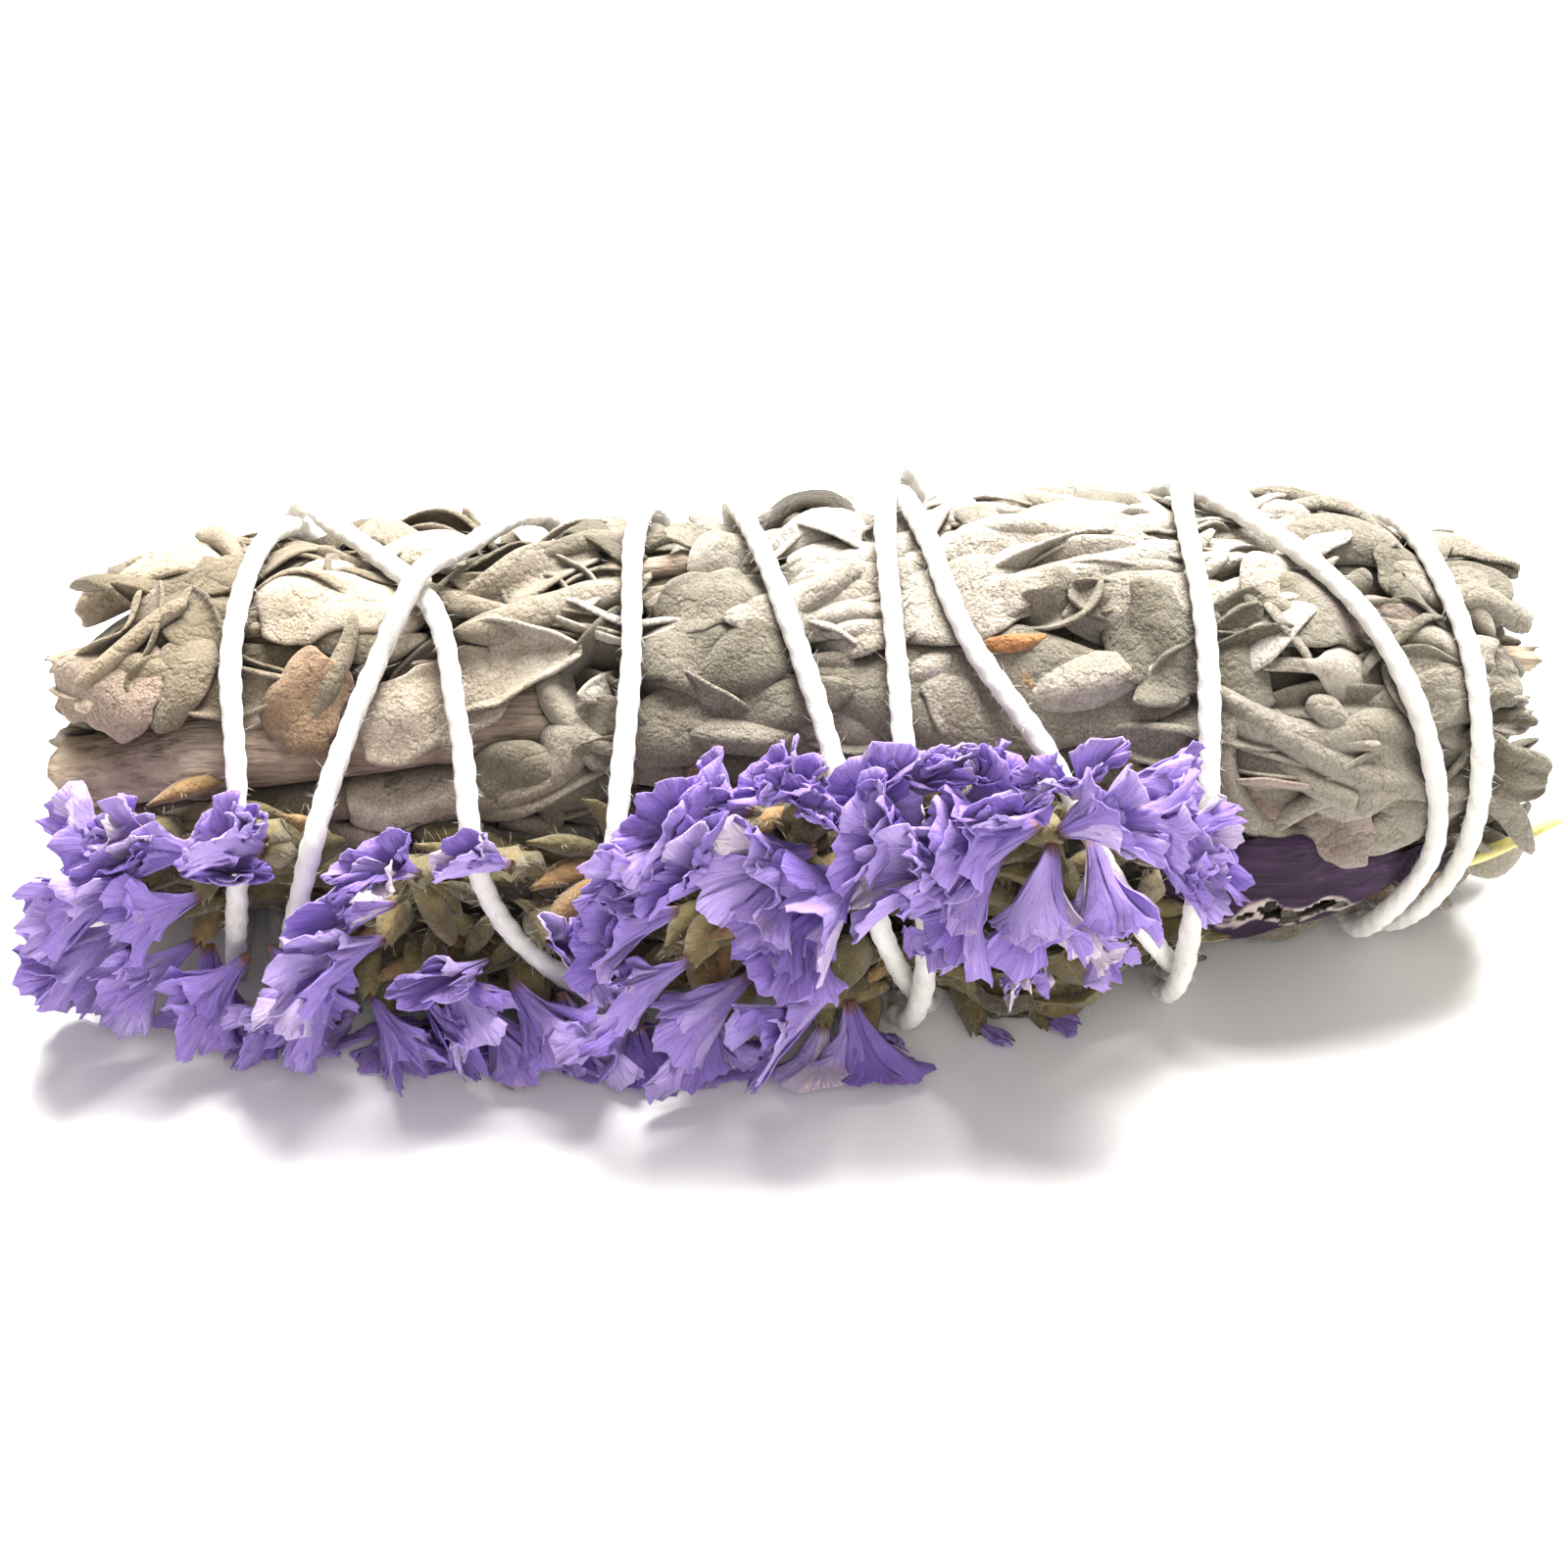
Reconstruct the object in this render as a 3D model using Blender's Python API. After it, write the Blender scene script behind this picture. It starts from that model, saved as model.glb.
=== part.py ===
"""Dried sage bunch lying on its side, bound with cotton string round a bundle of purple statice.

Lengths are in millimetres until a mesh is made. X runs along the bundle, -Y is the front, Z is up.
A place on the bundle is given by x, by the angle round its axis (0 faces the front, 90 is the top)
and by the distance from the axis.
"""

import math
import random

import bmesh
import bpy
import numpy as np
from mathutils import Vector
from mathutils.bvhtree import BVHTree

MM = 0.001

# The bundle: where its axis lies, and its radius and height along its length
SHIFT_X = -0.1
AXIS_Y = 7.5
GIRTH = ((-65, 12.8), (-52, 15.7), (-27, 16.8), (0, 17.6), (29, 18.3), (45, 17.6), (55, 15.3), (65, 12.4))
AXIS_HEIGHT = ((-65, 15.2), (-50, 15.2), (-27, 15.9), (0, 16.7), (29, 17.4), (45, 16.8), (65, 16.2))
CORE_END = 57.0
CORE_DEPTH = 3.3
CORE_END_SCALE = 0.62
FLOOR_CORE_DEPTH = 0.2
GAP = 0.32

# The sage sprigs, side by side round the middle
SPRIGS = 8
TWIST = 6.0
LEAVES_A_SPRIG = 6
LEAF_SEED = 41
LEAF_THICK = 0.8
LEAF_LENGTH = (24, 34)
LEAF_WIDTH = (9.0, 12.5)
LEAF_HEADING = 13
LEAF_REACH = 64.0
LEAF_ROOTS = 51
LEAF_FOLDS = (-1.5, -1.1, 1.3, 1.7, 0.7)
LEAF_OUTLINE = (0.55, 1.0, 0.9, 0.35)
LEAF_SINK = (4.4, 0.9, 0.0, 1.3)
HEART_RADIUS = 2.3
HEART_END = 60
STEM_RADIUS = 1.3
STEM_DEPTH = 6.8
STEM_ENDS = (-62, 61)
SMALLEST_BODY = 20.0

# The string, and how far it stands out over the flowers' stems
STRING_RADIUS = 1.0
STRING_LIFT = 0.3
FLOOR_LIFT = 0.15
BULGE = (
    (-66, 2.6), (-50, 3.4), (-40, 4.6), (-25, 5.8), (12, 5.8),
    (24, 4.8), (30, 3.4), (37, 1.0), (46, 0.0), (66, 0.0),
)
BULGE_ANGLES = (-72.0, -42.0, 14.0, 38.0)
STATION_STEP = 4.0
STATIONS = np.arange(-66, 67, STATION_STEP)
ANGLE_STEP = 5
STRING_PASSES = (
    ((150, -43), (95, -46), (60, -47), (20, -46), (-45, -48.5)),
    ((95, -36), (75, -31), (40, -28), (0, -25), (-40, -14.5)),
    ((95, -4), (40, 1.5), (-5, 6.5), (-40, 11)),
    ((95, 10), (55, 14), (25, 21), (-15, 29)),
    ((95, 38), (65, 46.5), (30, 51.5), (0, 52.5), (-30, 49.5)),
    ((95, 52.5), (50, 55.5), (0, 55.5), (-30, 53)),
    ((95, 32), (50, 33), (0, 32.5), (-50, 30.5)),
    ((95, 7), (40, 8), (-30, 9), (-45, 6.5)),
    ((95, -14), (50, -14), (-5, -16), (-40, -18)),
    ((95, -28), (75, -32), (30, -38), (-45, -45), (-205, -43)),
)
STRING_STEP = 5.2
STRING_SIDES = 5
KNOT_RADIUS = 2.4
CROSSING_EASE = 3.4
UNDERSIDE_HEIGHT = 3.0

# The statice: each spray's stem from its cut end to its tip, as x, angle and height over the sage
SPRAY_STEM_RADIUS = 1.15
SPRAYS = {
    "upper": ((28, -20, 1.6), (20, -1, 1.8), (5, 12, 1.9), (-9, 14, 1.9)),
    "middle": ((29, -32, 1.6), (15, -16, 1.8), (-10, -7, 1.9), (-35, 0, 1.9), (-56, 3, 2.1)),
    "lower": ((28, -45, 1.6), (10, -36, 1.8), (-15, -29, 1.9), (-42, -25, 1.9)),
}
# Each floret: x, angle, limb radius, lean along x and lean round the bundle in degrees
FLORETS = {
    "upper": (
        (-6, 12, 5.0, -40, 10), (-8, 21, 3.2, -5, 35), (0, 24, 3.6, 5, 42), (4, 21, 3.8, 10, 42),
        (3, 8, 4.6, -25, -30), (13, 12, 5.0, -40, 15), (9, 27, 3.4, 0, 42), (14, 25, 3.2, 0, 40),
        (17, 19, 4.0, 5, 38), (22, 18, 5.0, 40, 25), (26, 12, 3.6, 40, 5), (12, 2, 4.8, -30, -28),
        (22, 6, 5.0, 35, -5), (18, -4, 5.0, 0, -35), (23, -3, 4.6, 25, -30),
    ),
    "middle": (
        (-49, 12, 4.4, -55, 10), (-54, 2, 5.6, -60, -5), (-56, -13, 5.4, -55, -20), (-47, 0, 4.6, -10, -30),
        (-48, -16, 5.0, -40, -25), (-45, 18, 2.6, -10, 20), (-41, 16, 4.4, -25, 30),
        (-54, 15, 3.0, -45, 25),
        (-31, 12, 4.2, 0, 30), (-25, 14, 3.6, 10, 30), (-34, -3, 5.2, -15, -5), (-23, -2, 3.8, 20, 5),
        (-9, -6, 4.6, -40, -10),
    ),
    "lower": (
        (-42, -22, 4.2, -20, -10), (-36, -21, 4.6, 5, -10), (-32, -19, 4.4, 0, -5),
        (-35, -31, 5.0, -5, -20),
        (-30, -32, 4.8, 15, -25), (-27, -23, 4.8, 25, -15), (-41, -31, 4.2, -25, -20),
        (-22, -27, 4.2, 10, -15),
        (-19, -24, 3.6, 20, -15), (-14, -27, 5.2, -10, -15), (-8, -16, 4.8, 0, -5), (-5, -28, 5.0, 5, -20),
        (3, -14, 5.4, -35, -5), (2, -28, 4.6, 5, -15), (9, -33, 4.0, 10, -15), (15, -37, 3.6, 15, -10),
        (21, -40, 3.2, 20, -5),
    ),
}
CALYX_RADIUS = 1.25
CALYX_RISE = 1.2
CALYX_LENGTH = 3.4
CALYX_LEAN = 0.6
CALYX_SHIFTS = (0, 0.8, -0.8, 1.6, -1.6, 2.4, -2.4, 3.2, -3.2, 4, -4)
BRANCH_RADIUS = 0.6
FUNNEL_LENGTH = 5.0
FUNNEL_RISES = (0, 0.8, 1.6, 2.4)
FUNNEL_LEANS = (1, 0.75, 0.5, 0.25, 0)
LIMB_LOBES = 0.12
LIMB_POINTS = 10
LIMB_THICK = 0.9
THROAT_RISE = 2.0
TIP_X = -46.0
TIP_RISE = 5.2
SMALLEST_BLOOM = 2.0

# Loose pieces: x, angle and depth under the sage's outer radius
OUTER_STEM = ((-63, 19, 3.3), (-48, 31, 3.4), (-34, 37, 3.4), (-21, 43, 3.6))
OUTER_STEM_RADII = (3.0, 3.3, 3.2, 2.6)
TOP_STEM = ((-17, 90, 1.3), (-10, 94, 1.2), (-3, 97, 1.6))
SIDE_STALK = ((-63, 68, 1.4), (-54, 73, 1.3), (-45, 76, 1.8))
DRY_BLADE = ((54.6, -21, 1.3), (58, -16, 0.9), (61, -9, 0.6), (64, -1, 0.2))
THIN_STEM_RADIUS = 0.9
BLADE_RADIUS = 0.5
PETAL_X = (32.0, 53.0)
PETAL_ANGLES = (-30.0, -13.0)
PETAL_DEPTH = 0.3
PETAL_THICK = 0.75
PETAL_ROOM = 2.6
PETAL_ROOM_MARGIN = 0.5
PETAL_ROOM_DEPTH = -1.5


def curve_value(rows, t):
    """A smooth curve through rows of (t, value), read at t, which may be an array."""
    knots = np.array([row[0] for row in rows], float)
    values = np.array([row[1] for row in rows], float)
    slopes = np.gradient(values, knots)
    t = np.clip(t, knots[0], knots[-1])
    i = np.clip(np.searchsorted(knots, t) - 1, 0, len(knots) - 2)
    span = knots[i + 1] - knots[i]
    u = (t - knots[i]) / span
    rise = values[i] * (2 * u**3 - 3 * u**2 + 1) + values[i + 1] * (3 * u**2 - 2 * u**3)
    return rise + span * (slopes[i] * (u**3 - 2 * u**2 + u) + slopes[i + 1] * (u**3 - u**2))


def girth(x):
    return curve_value(GIRTH, x)


def place(x, angle, radius):
    """The point at x, at an angle round the axis and at a distance from it."""
    turn = math.radians(angle)
    height = float(curve_value(AXIS_HEIGHT, x)) + radius * math.sin(turn)
    return Vector((x + SHIFT_X, AXIS_Y - radius * math.cos(turn), height))


def string_radii():
    """The taut string's distance from the axis, over a grid of x and angle."""
    angles = np.arange(0, 360, ANGLE_STEP)
    signed = (angles + 180) % 360 - 180
    low, low_full, high_full, high = BULGE_ANGLES
    window = np.interp(signed, (low, low_full, high_full, high), (0, 1, 1, 0))
    window = window * window * (3 - 2 * window)
    away = np.radians((angles[:, None] - angles[None, :] + 180) % 360 - 180)
    near = np.abs(away) < 1.3
    grid = []
    for x in STATIONS:
        outline = girth(x) + STRING_RADIUS + STRING_LIFT + curve_value(BULGE, x) * window
        reach = (outline[None, :] * np.cos(away)).max(axis=1)
        hull = np.where(near, reach[None, :] / np.cos(np.where(near, away, 0)), 1e3).min(axis=1)
        grid.append(hull)
    return np.array(grid)


STRING_RADII = string_radii()


def string_radius(x, angle):
    """The string's distance from the axis at x and angle, read from the grid."""
    column = (x - STATIONS[0]) / STATION_STEP
    row = (angle % 360) / ANGLE_STEP
    rows = 360 // ANGLE_STEP
    i = min(max(int(column), 0), len(STATIONS) - 2)
    j = int(row) % rows
    u = min(max(column - i, 0.0), 1.0)
    v = row - int(row)
    k = (j + 1) % rows
    first = STRING_RADII[i][j] * (1 - v) + STRING_RADII[i][k] * v
    second = STRING_RADII[i + 1][j] * (1 - v) + STRING_RADII[i + 1][k] * v
    return float(first * (1 - u) + second * u)


def string_route():
    """The string's centre line: each pass down the front, round the back and over to the next."""
    rows = [(360 * turn - angle, x) for turn, points in enumerate(STRING_PASSES) for angle, x in points]
    turns = np.arange(rows[0][0], rows[-1][0], 2.5)
    points = []
    outward = []
    for turned, x in zip(turns, curve_value(rows, turns)):
        point = place(float(x), -turned, string_radius(float(x), -turned))
        side = Vector((0, point.y - AXIS_Y, point.z - float(curve_value(AXIS_HEIGHT, x)))).normalized()
        if point.z < UNDERSIDE_HEIGHT and abs(point.y - AXIS_Y) > 12:
            side = Vector((0, math.copysign(1, side.y), 0))
        point.z = max(point.z, STRING_RADIUS + FLOOR_LIFT)
        points.append(point)
        outward.append(side)
    return lift_crossings(np.array(points), np.array(outward))


def lift_crossings(points, outward):
    """Where two passes cross, the later rides over the earlier, or under the bunch pushes it up."""
    apart = 2 * STRING_RADIUS + STRING_LIFT
    floor = STRING_RADIUS + FLOOR_LIFT
    for repeat in range(3):
        along = np.concatenate(([0], np.cumsum(np.linalg.norm(np.diff(points, axis=0), axis=1))))
        lift = np.zeros(len(points))
        push = np.zeros(len(points))
        for i in range(len(points)):
            earlier = np.nonzero(along < along[i] - 20)[0]
            if len(earlier) == 0:
                continue
            away = points[i] - points[earlier]
            height = away @ outward[i]
            flat = np.linalg.norm(away - height[:, None] * outward[i], axis=1)
            near = (np.abs(height) < 8) & (flat < apart)
            need = np.where(near, np.sqrt(np.clip(apart**2 - flat**2, 0, None)) - height, 0)
            j = int(np.argmax(need))
            if need[j] <= 0:
                continue
            if points[i][2] < UNDERSIDE_HEIGHT and abs(points[i][1] - AXIS_Y) < 11:
                rise = points[i][2] - points[earlier[j]][2] + apart
                push[earlier[j]] = max(push[earlier[j]], rise)
            else:
                lift[i] = max(lift[i], need[j])
        ease = np.exp(-(((along[:, None] - along[None, :]) / CROSSING_EASE) ** 2))
        raised = (ease * lift[None, :]).max(axis=1)
        pushed = (ease * push[None, :]).max(axis=1)
        move = outward * raised[:, None]
        down = np.maximum(move[:, 2], floor - points[:, 2])
        sideways = np.sqrt(np.clip(raised**2 - down**2 - move[:, 0] ** 2, 0, None))
        move[:, 1] = np.where(down > move[:, 2], np.sign(move[:, 1]) * sideways, move[:, 1])
        move[:, 2] = down + pushed
        points = points + move
    return [Vector(point) for point in points]


def evenly(points, step):
    """Points of a line, resampled about one step apart."""
    line = np.array(points)
    along = np.concatenate(([0], np.cumsum(np.linalg.norm(np.diff(line, axis=0), axis=1))))
    count = max(2, int(round(along[-1] / step)) + 1)
    at = np.linspace(0, along[-1], count)
    return [Vector([float(np.interp(t, along, line[:, axis])) for axis in range(3)]) for t in at]


def loft(rings):
    """A closed shape through rings of points, with its first and last ring as caps."""
    shape = bmesh.new()
    loops = [[shape.verts.new(point) for point in ring] for ring in rings]
    for low, high in zip(loops, loops[1:]):
        for i in range(len(low)):
            shape.faces.new((low[i - 1], low[i], high[i], high[i - 1]))
    shape.faces.new(list(reversed(loops[0])))
    shape.faces.new(loops[-1])
    bmesh.ops.triangulate(shape, faces=shape.faces[:])
    bmesh.ops.recalc_face_normals(shape, faces=shape.faces[:])
    return shape


def tube(points, radii, sides):
    """A round stem or string along a line of points, with flat ends."""
    rings = []
    side = Vector((0, 0, 1))
    for i, point in enumerate(points):
        ahead = (points[min(i + 1, len(points) - 1)] - points[max(i - 1, 0)]).normalized()
        side = (side - ahead * side.dot(ahead)).normalized()
        across = ahead.cross(side)
        radius = radii[i] if isinstance(radii, (list, tuple)) else radii
        spokes = [2 * math.pi * k / sides for k in range(sides)]
        rings.append([point + (side * math.cos(a) + across * math.sin(a)) * radius for a in spokes])
    return loft(rings)


def stem_line(rows, step=6.0):
    """A smooth line through rows of x, angle and depth under the sage's outer radius."""
    angles = [(row[0], row[1]) for row in rows]
    depths = [(row[0], row[2]) for row in rows]
    if angles[0][0] > angles[-1][0]:
        angles, depths = angles[::-1], depths[::-1]
    count = max(3, int(abs(rows[-1][0] - rows[0][0]) / step) + 1)
    line = []
    for x in np.linspace(rows[0][0], rows[-1][0], count):
        radius = float(girth(x) - curve_value(depths, x))
        line.append(place(float(x), float(curve_value(angles, x)), radius))
    return line


def taper(radii, count):
    """A list of radii, spread over a number of points."""
    return [float(r) for r in np.interp(np.linspace(0, 1, count), np.linspace(0, 1, len(radii)), radii)]


def scaled(shape):
    """The shape's mesh in metres."""
    bmesh.ops.scale(shape, vec=(MM, MM, MM), verts=shape.verts)
    mesh = bpy.data.meshes.new("shape")
    shape.to_mesh(mesh)
    shape.free()
    return mesh


def material(name, color, roughness):
    """A plain Principled material."""
    finish = bpy.data.materials.new(name)
    finish.use_nodes = True
    shader = finish.node_tree.nodes["Principled BSDF"]
    shader.inputs["Base Color"].default_value = (*color, 1)
    shader.inputs["Roughness"].default_value = roughness
    shader.inputs["Metallic"].default_value = 0
    finish.diffuse_color = (*color, 1)
    return finish


def add(name, mesh, finish):
    """A named object with one material."""
    mesh.name = name
    mesh.materials.clear()
    mesh.materials.append(finish)
    piece = bpy.data.objects.new(name, mesh)
    bpy.context.scene.collection.objects.link(piece)
    return piece


def combine(first, others, operation, solver="EXACT"):
    """One Boolean of a mesh with a collection of other meshes, applied."""
    group = bpy.data.collections.new("operands")
    bpy.context.scene.collection.children.link(group)
    made = []
    for mesh in others:
        operand = bpy.data.objects.new("operand", mesh)
        operand.hide_render = True
        operand.display_type = "WIRE"
        group.objects.link(operand)
        made.append(operand)
    base = bpy.data.objects.new("base", first)
    bpy.context.scene.collection.objects.link(base)
    step = base.modifiers.new("join", "BOOLEAN")
    step.operation = operation
    step.operand_type = "COLLECTION"
    step.collection = group
    step.solver = solver
    seen = base.evaluated_get(bpy.context.evaluated_depsgraph_get())
    result = bpy.data.meshes.new_from_object(seen)
    for item in made + [base]:
        bpy.data.objects.remove(item)
    bpy.data.collections.remove(group)
    return result


def bodies(mesh, smallest):
    """The mesh's separate bodies, largest first, without scraps under a number of cubic mm."""
    whole = bmesh.new()
    whole.from_mesh(mesh)
    bmesh.ops.remove_doubles(whole, verts=whole.verts, dist=2e-6)
    bmesh.ops.dissolve_degenerate(whole, dist=2e-6, edges=whole.edges)
    bmesh.ops.triangulate(whole, faces=whole.faces[:])
    folded = {}
    for face in whole.faces:
        folded.setdefault(frozenset(face.verts), []).append(face)
    doubled = [face for faces in folded.values() if len(faces) > 1 for face in faces]
    bmesh.ops.delete(whole, geom=doubled, context="FACES")
    seen = set()
    parts = []
    for start in whole.faces:
        if start in seen:
            continue
        island = [start]
        seen.add(start)
        for face in island:
            for edge in face.edges:
                for beside in edge.link_faces:
                    if beside not in seen:
                        seen.add(beside)
                        island.append(beside)
        part = bmesh.new()
        copies = {}
        for face in island:
            for vert in face.verts:
                if vert not in copies:
                    copies[vert] = part.verts.new(vert.co)
            part.faces.new([copies[vert] for vert in face.verts])
        volume = part.calc_volume(signed=True) / MM**3
        if volume > smallest:
            made = bpy.data.meshes.new("body")
            part.to_mesh(made)
            parts.append((volume, made))
        part.free()
    whole.free()
    return [made for volume, made in sorted(parts, key=lambda pair: -pair[0])]


def sound(mesh):
    """Whether every edge of the mesh has exactly two faces."""
    counts = {}
    for face in mesh.polygons:
        for key in face.edge_keys:
            counts[key] = counts.get(key, 0) + 1
    return all(count == 2 for count in counts.values())


def fuse(shapes, cuts, smallest):
    """Shapes joined and cut by others, by the second solver where the first leaves an open edge."""
    for solver in ("EXACT", "MANIFOLD"):
        joined = combine(shapes[0].copy(), [mesh.copy() for mesh in shapes[1:]], "UNION", solver)
        made = bodies(combine(joined, [mesh.copy() for mesh in cuts], "DIFFERENCE", solver), smallest)
        if made and all(sound(mesh) for mesh in made):
            break
    return made


def tree(mesh):
    """A search tree of the mesh's faces."""
    points = [vert.co.copy() for vert in mesh.vertices]
    return BVHTree.FromPolygons(points, [face.vertices[:] for face in mesh.polygons])


def box(low, high):
    """A box between two corners, in millimetres."""
    shape = bmesh.new()
    bmesh.ops.create_cube(shape, size=1)
    middle = (Vector(low) + Vector(high)) / 2
    size = Vector(high) - Vector(low)
    for vert in shape.verts:
        vert.co = Vector([vert.co[axis] * size[axis] for axis in range(3)]) + middle
    return shape


def sprig_core(middle):
    """A sprig's packed inner leaves: a wedge of the bundle, pressed flat where the bunch lies on it."""
    pressed = FLOOR_CORE_DEPTH if middle == -90 else CORE_DEPTH
    half = 180 / SPRIGS
    stations = (
        (-CORE_END, CORE_END_SCALE), (-47, 0.96), (-10, 1), (25, 1), (46, 1), (CORE_END, 0.7),
    )
    rings = []
    for x, scale in stations:
        outer = (float(girth(x)) - CORE_DEPTH) * scale
        face = (float(girth(x)) - pressed) * scale
        inner = HEART_RADIUS + GAP + 0.4
        turn = middle + TWIST * x / 100
        ring = []
        for radius, share in ((inner, -1), (inner, 1), (outer, 1), (face, 0.33), (face, -0.33), (outer, -1)):
            width = half - math.degrees(GAP / 2 / radius)
            ring.append(place(x, turn + share * width, radius))
        rings.append(ring)
    return loft(rings)


def leaf_blade(draw, middle, x, root_right):
    """One folded leaf: its root sunk in the sprig's core, its face at the bundle's surface."""
    half = math.radians(180 / SPRIGS)
    length = draw.uniform(*LEAF_LENGTH)
    width = draw.uniform(*LEAF_WIDTH)
    heading = math.radians(draw.uniform(-LEAF_HEADING, LEAF_HEADING))
    offset = draw.uniform(-0.30, 0.30)
    fold = draw.choice(LEAF_FOLDS)
    wave = draw.uniform(0, math.pi)
    top = draw.uniform(0, 0.4)
    shape = bmesh.new()
    bmesh.ops.create_grid(shape, x_segments=3, y_segments=2, size=1)
    for vert in shape.verts:
        s = (vert.co.x + 1) / 2
        v = vert.co.y
        station = int(round(s * 3))
        outline = LEAF_OUTLINE[station]
        u = (s - 0.5) * length * (-1 if root_right else 1)
        across = v * width / 2 * outline
        at = x + u * math.cos(heading) - across * math.sin(heading)
        at = max(-LEAF_REACH, min(LEAF_REACH, at))
        limit = float(girth(at))
        turn = offset * half + (u * math.sin(heading) + across * math.cos(heading)) / limit
        reach = half - 1.1 / limit
        turn = turn / (1 + abs(turn / reach) ** 4) ** 0.25
        ripple = 0.5 * (1 + math.sin(7 * s + wave + v))
        crease = abs(v) * fold if fold > 0 else (1 - abs(v)) * -fold
        depth = top + LEAF_SINK[station] + 0.8 * crease * (0.4 + 0.6 * outline) + 0.4 * ripple
        vert.co = place(at, math.degrees(turn) + middle + TWIST * at / 100, limit - depth)
    bmesh.ops.triangulate(shape, faces=shape.faces[:])
    bmesh.ops.recalc_face_normals(shape, faces=shape.faces[:])
    shape.faces.ensure_lookup_table()
    centre = place(x, middle, 0)
    face = shape.faces[len(shape.faces) // 2]
    outside = face.calc_center_median() - centre
    outside.x = 0
    if face.normal.dot(outside) < 0:
        bmesh.ops.reverse_faces(shape, faces=shape.faces[:])
    bmesh.ops.solidify(shape, geom=shape.faces[:], thickness=LEAF_THICK)
    bmesh.ops.triangulate(shape, faces=shape.faces[:])
    bmesh.ops.recalc_face_normals(shape, faces=shape.faces[:])
    return shape


def plate(thick, margin, top):
    """The loose petal's curved outline as a plate, or a larger one to clear room for it."""
    shape = bmesh.new()
    bmesh.ops.create_grid(shape, x_segments=5, y_segments=2, size=1)
    for vert in shape.verts:
        s = (vert.co.x + 1) / 2
        v = vert.co.y
        x = PETAL_X[0] + s * (PETAL_X[1] - PETAL_X[0]) + math.copysign(margin, vert.co.x)
        low = PETAL_ANGLES[0] - 5 * math.sin(math.pi * s) + 6 * s
        high = PETAL_ANGLES[1] - 10 * s
        narrowed = 0.5 + 0.5 * math.sin(math.pi * (0.15 + 0.7 * s))
        half = (high - low) / 2 * narrowed + math.degrees(margin / float(girth(x)))
        vert.co = place(x, (low + high) / 2 + v * half, float(girth(x)) - top)
    bmesh.ops.triangulate(shape, faces=shape.faces[:])
    bmesh.ops.recalc_face_normals(shape, faces=shape.faces[:])
    shape.faces.ensure_lookup_table()
    if shape.faces[0].normal.y > 0:
        bmesh.ops.reverse_faces(shape, faces=shape.faces[:])
    bmesh.ops.solidify(shape, geom=shape.faces[:], thickness=thick)
    bmesh.ops.triangulate(shape, faces=shape.faces[:])
    bmesh.ops.recalc_face_normals(shape, faces=shape.faces[:])
    return shape


def directions(x, angle, lean_x, lean_round):
    """A floret's axis and the two directions across it."""
    turn = math.radians(angle)
    out = Vector((0, -math.cos(turn), math.sin(turn)))
    up = Vector((0, math.sin(turn), math.cos(turn)))
    along = Vector((1, 0, 0))
    axis = out + along * math.tan(math.radians(lean_x)) + up * math.tan(math.radians(lean_round))
    axis.normalize()
    side = axis.cross(along if abs(axis.x) < 0.9 else up).normalized()
    return axis, side, axis.cross(side)


def floret_foot(x, angle):
    """Where a floret's funnel starts: just outside the string's winding."""
    rise = string_radius(x, angle) + STRING_RADIUS + GAP + CALYX_RISE
    return min(rise, float(girth(x)) + TIP_RISE) if x < TIP_X else rise


def calyx_shape(stem, x, angle, lean_x, lean_round):
    """A hairy calyx on its short branch, from the spray's stem out to the funnel's foot."""
    axis, side, across = directions(x, angle, lean_x * CALYX_LEAN, lean_round * CALYX_LEAN)
    foot = place(x, angle, floret_foot(x, angle))
    tip = foot - axis * GAP
    low = tip - axis * CALYX_LENGTH
    root = min(stem, key=lambda point: (point - low).length)
    inward = (root - low).normalized()
    line = [root + inward * 0.45, low, tip - axis * 1.5, tip]
    radii = [BRANCH_RADIUS, BRANCH_RADIUS + 0.2, CALYX_RADIUS, CALYX_RADIUS * 0.85]
    return line, radii


def funnel(x, angle, limb, lean_x, lean_round, rise):
    """A papery bloom: a five-lobed funnel that opens from a narrow foot."""
    axis, side, across = directions(x, angle, lean_x, lean_round)
    foot = place(x, angle, floret_foot(x, angle) + rise)
    turn = x * 0.7 + angle * 0.3
    length = FUNNEL_LENGTH * (0.6 + 0.08 * limb)

    def ring(radius, height, lobes):
        points = []
        for k in range(LIMB_POINTS):
            a = 2 * math.pi * k / LIMB_POINTS + turn
            lobe = 1 + lobes * math.cos(math.pi * k)
            r = radius * lobe
            h = height + lobes * 3.2 * math.cos(math.pi * k + 0.8) + lobes * 3 * math.sin(2 * a)
            points.append(foot + side * math.cos(a) * r + across * math.sin(a) * r + axis * h)
        return points

    shape = bmesh.new()
    outer = [shape.verts.new(point) for point in ring(limb, length, LIMB_LOBES)]
    face = ring(limb * 0.95, length + LIMB_THICK, LIMB_LOBES)
    inner = [shape.verts.new(point) for point in face]
    tip = shape.verts.new(foot)
    throat = shape.verts.new(foot + axis * THROAT_RISE)
    for k in range(LIMB_POINTS):
        shape.faces.new((tip, outer[k - 1], outer[k]))
        shape.faces.new((throat, inner[k], inner[k - 1]))
        shape.faces.new((outer[k - 1], inner[k - 1], inner[k]))
        shape.faces.new((outer[k - 1], inner[k], outer[k]))
    bmesh.ops.recalc_face_normals(shape, faces=shape.faces[:])
    return shape


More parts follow.
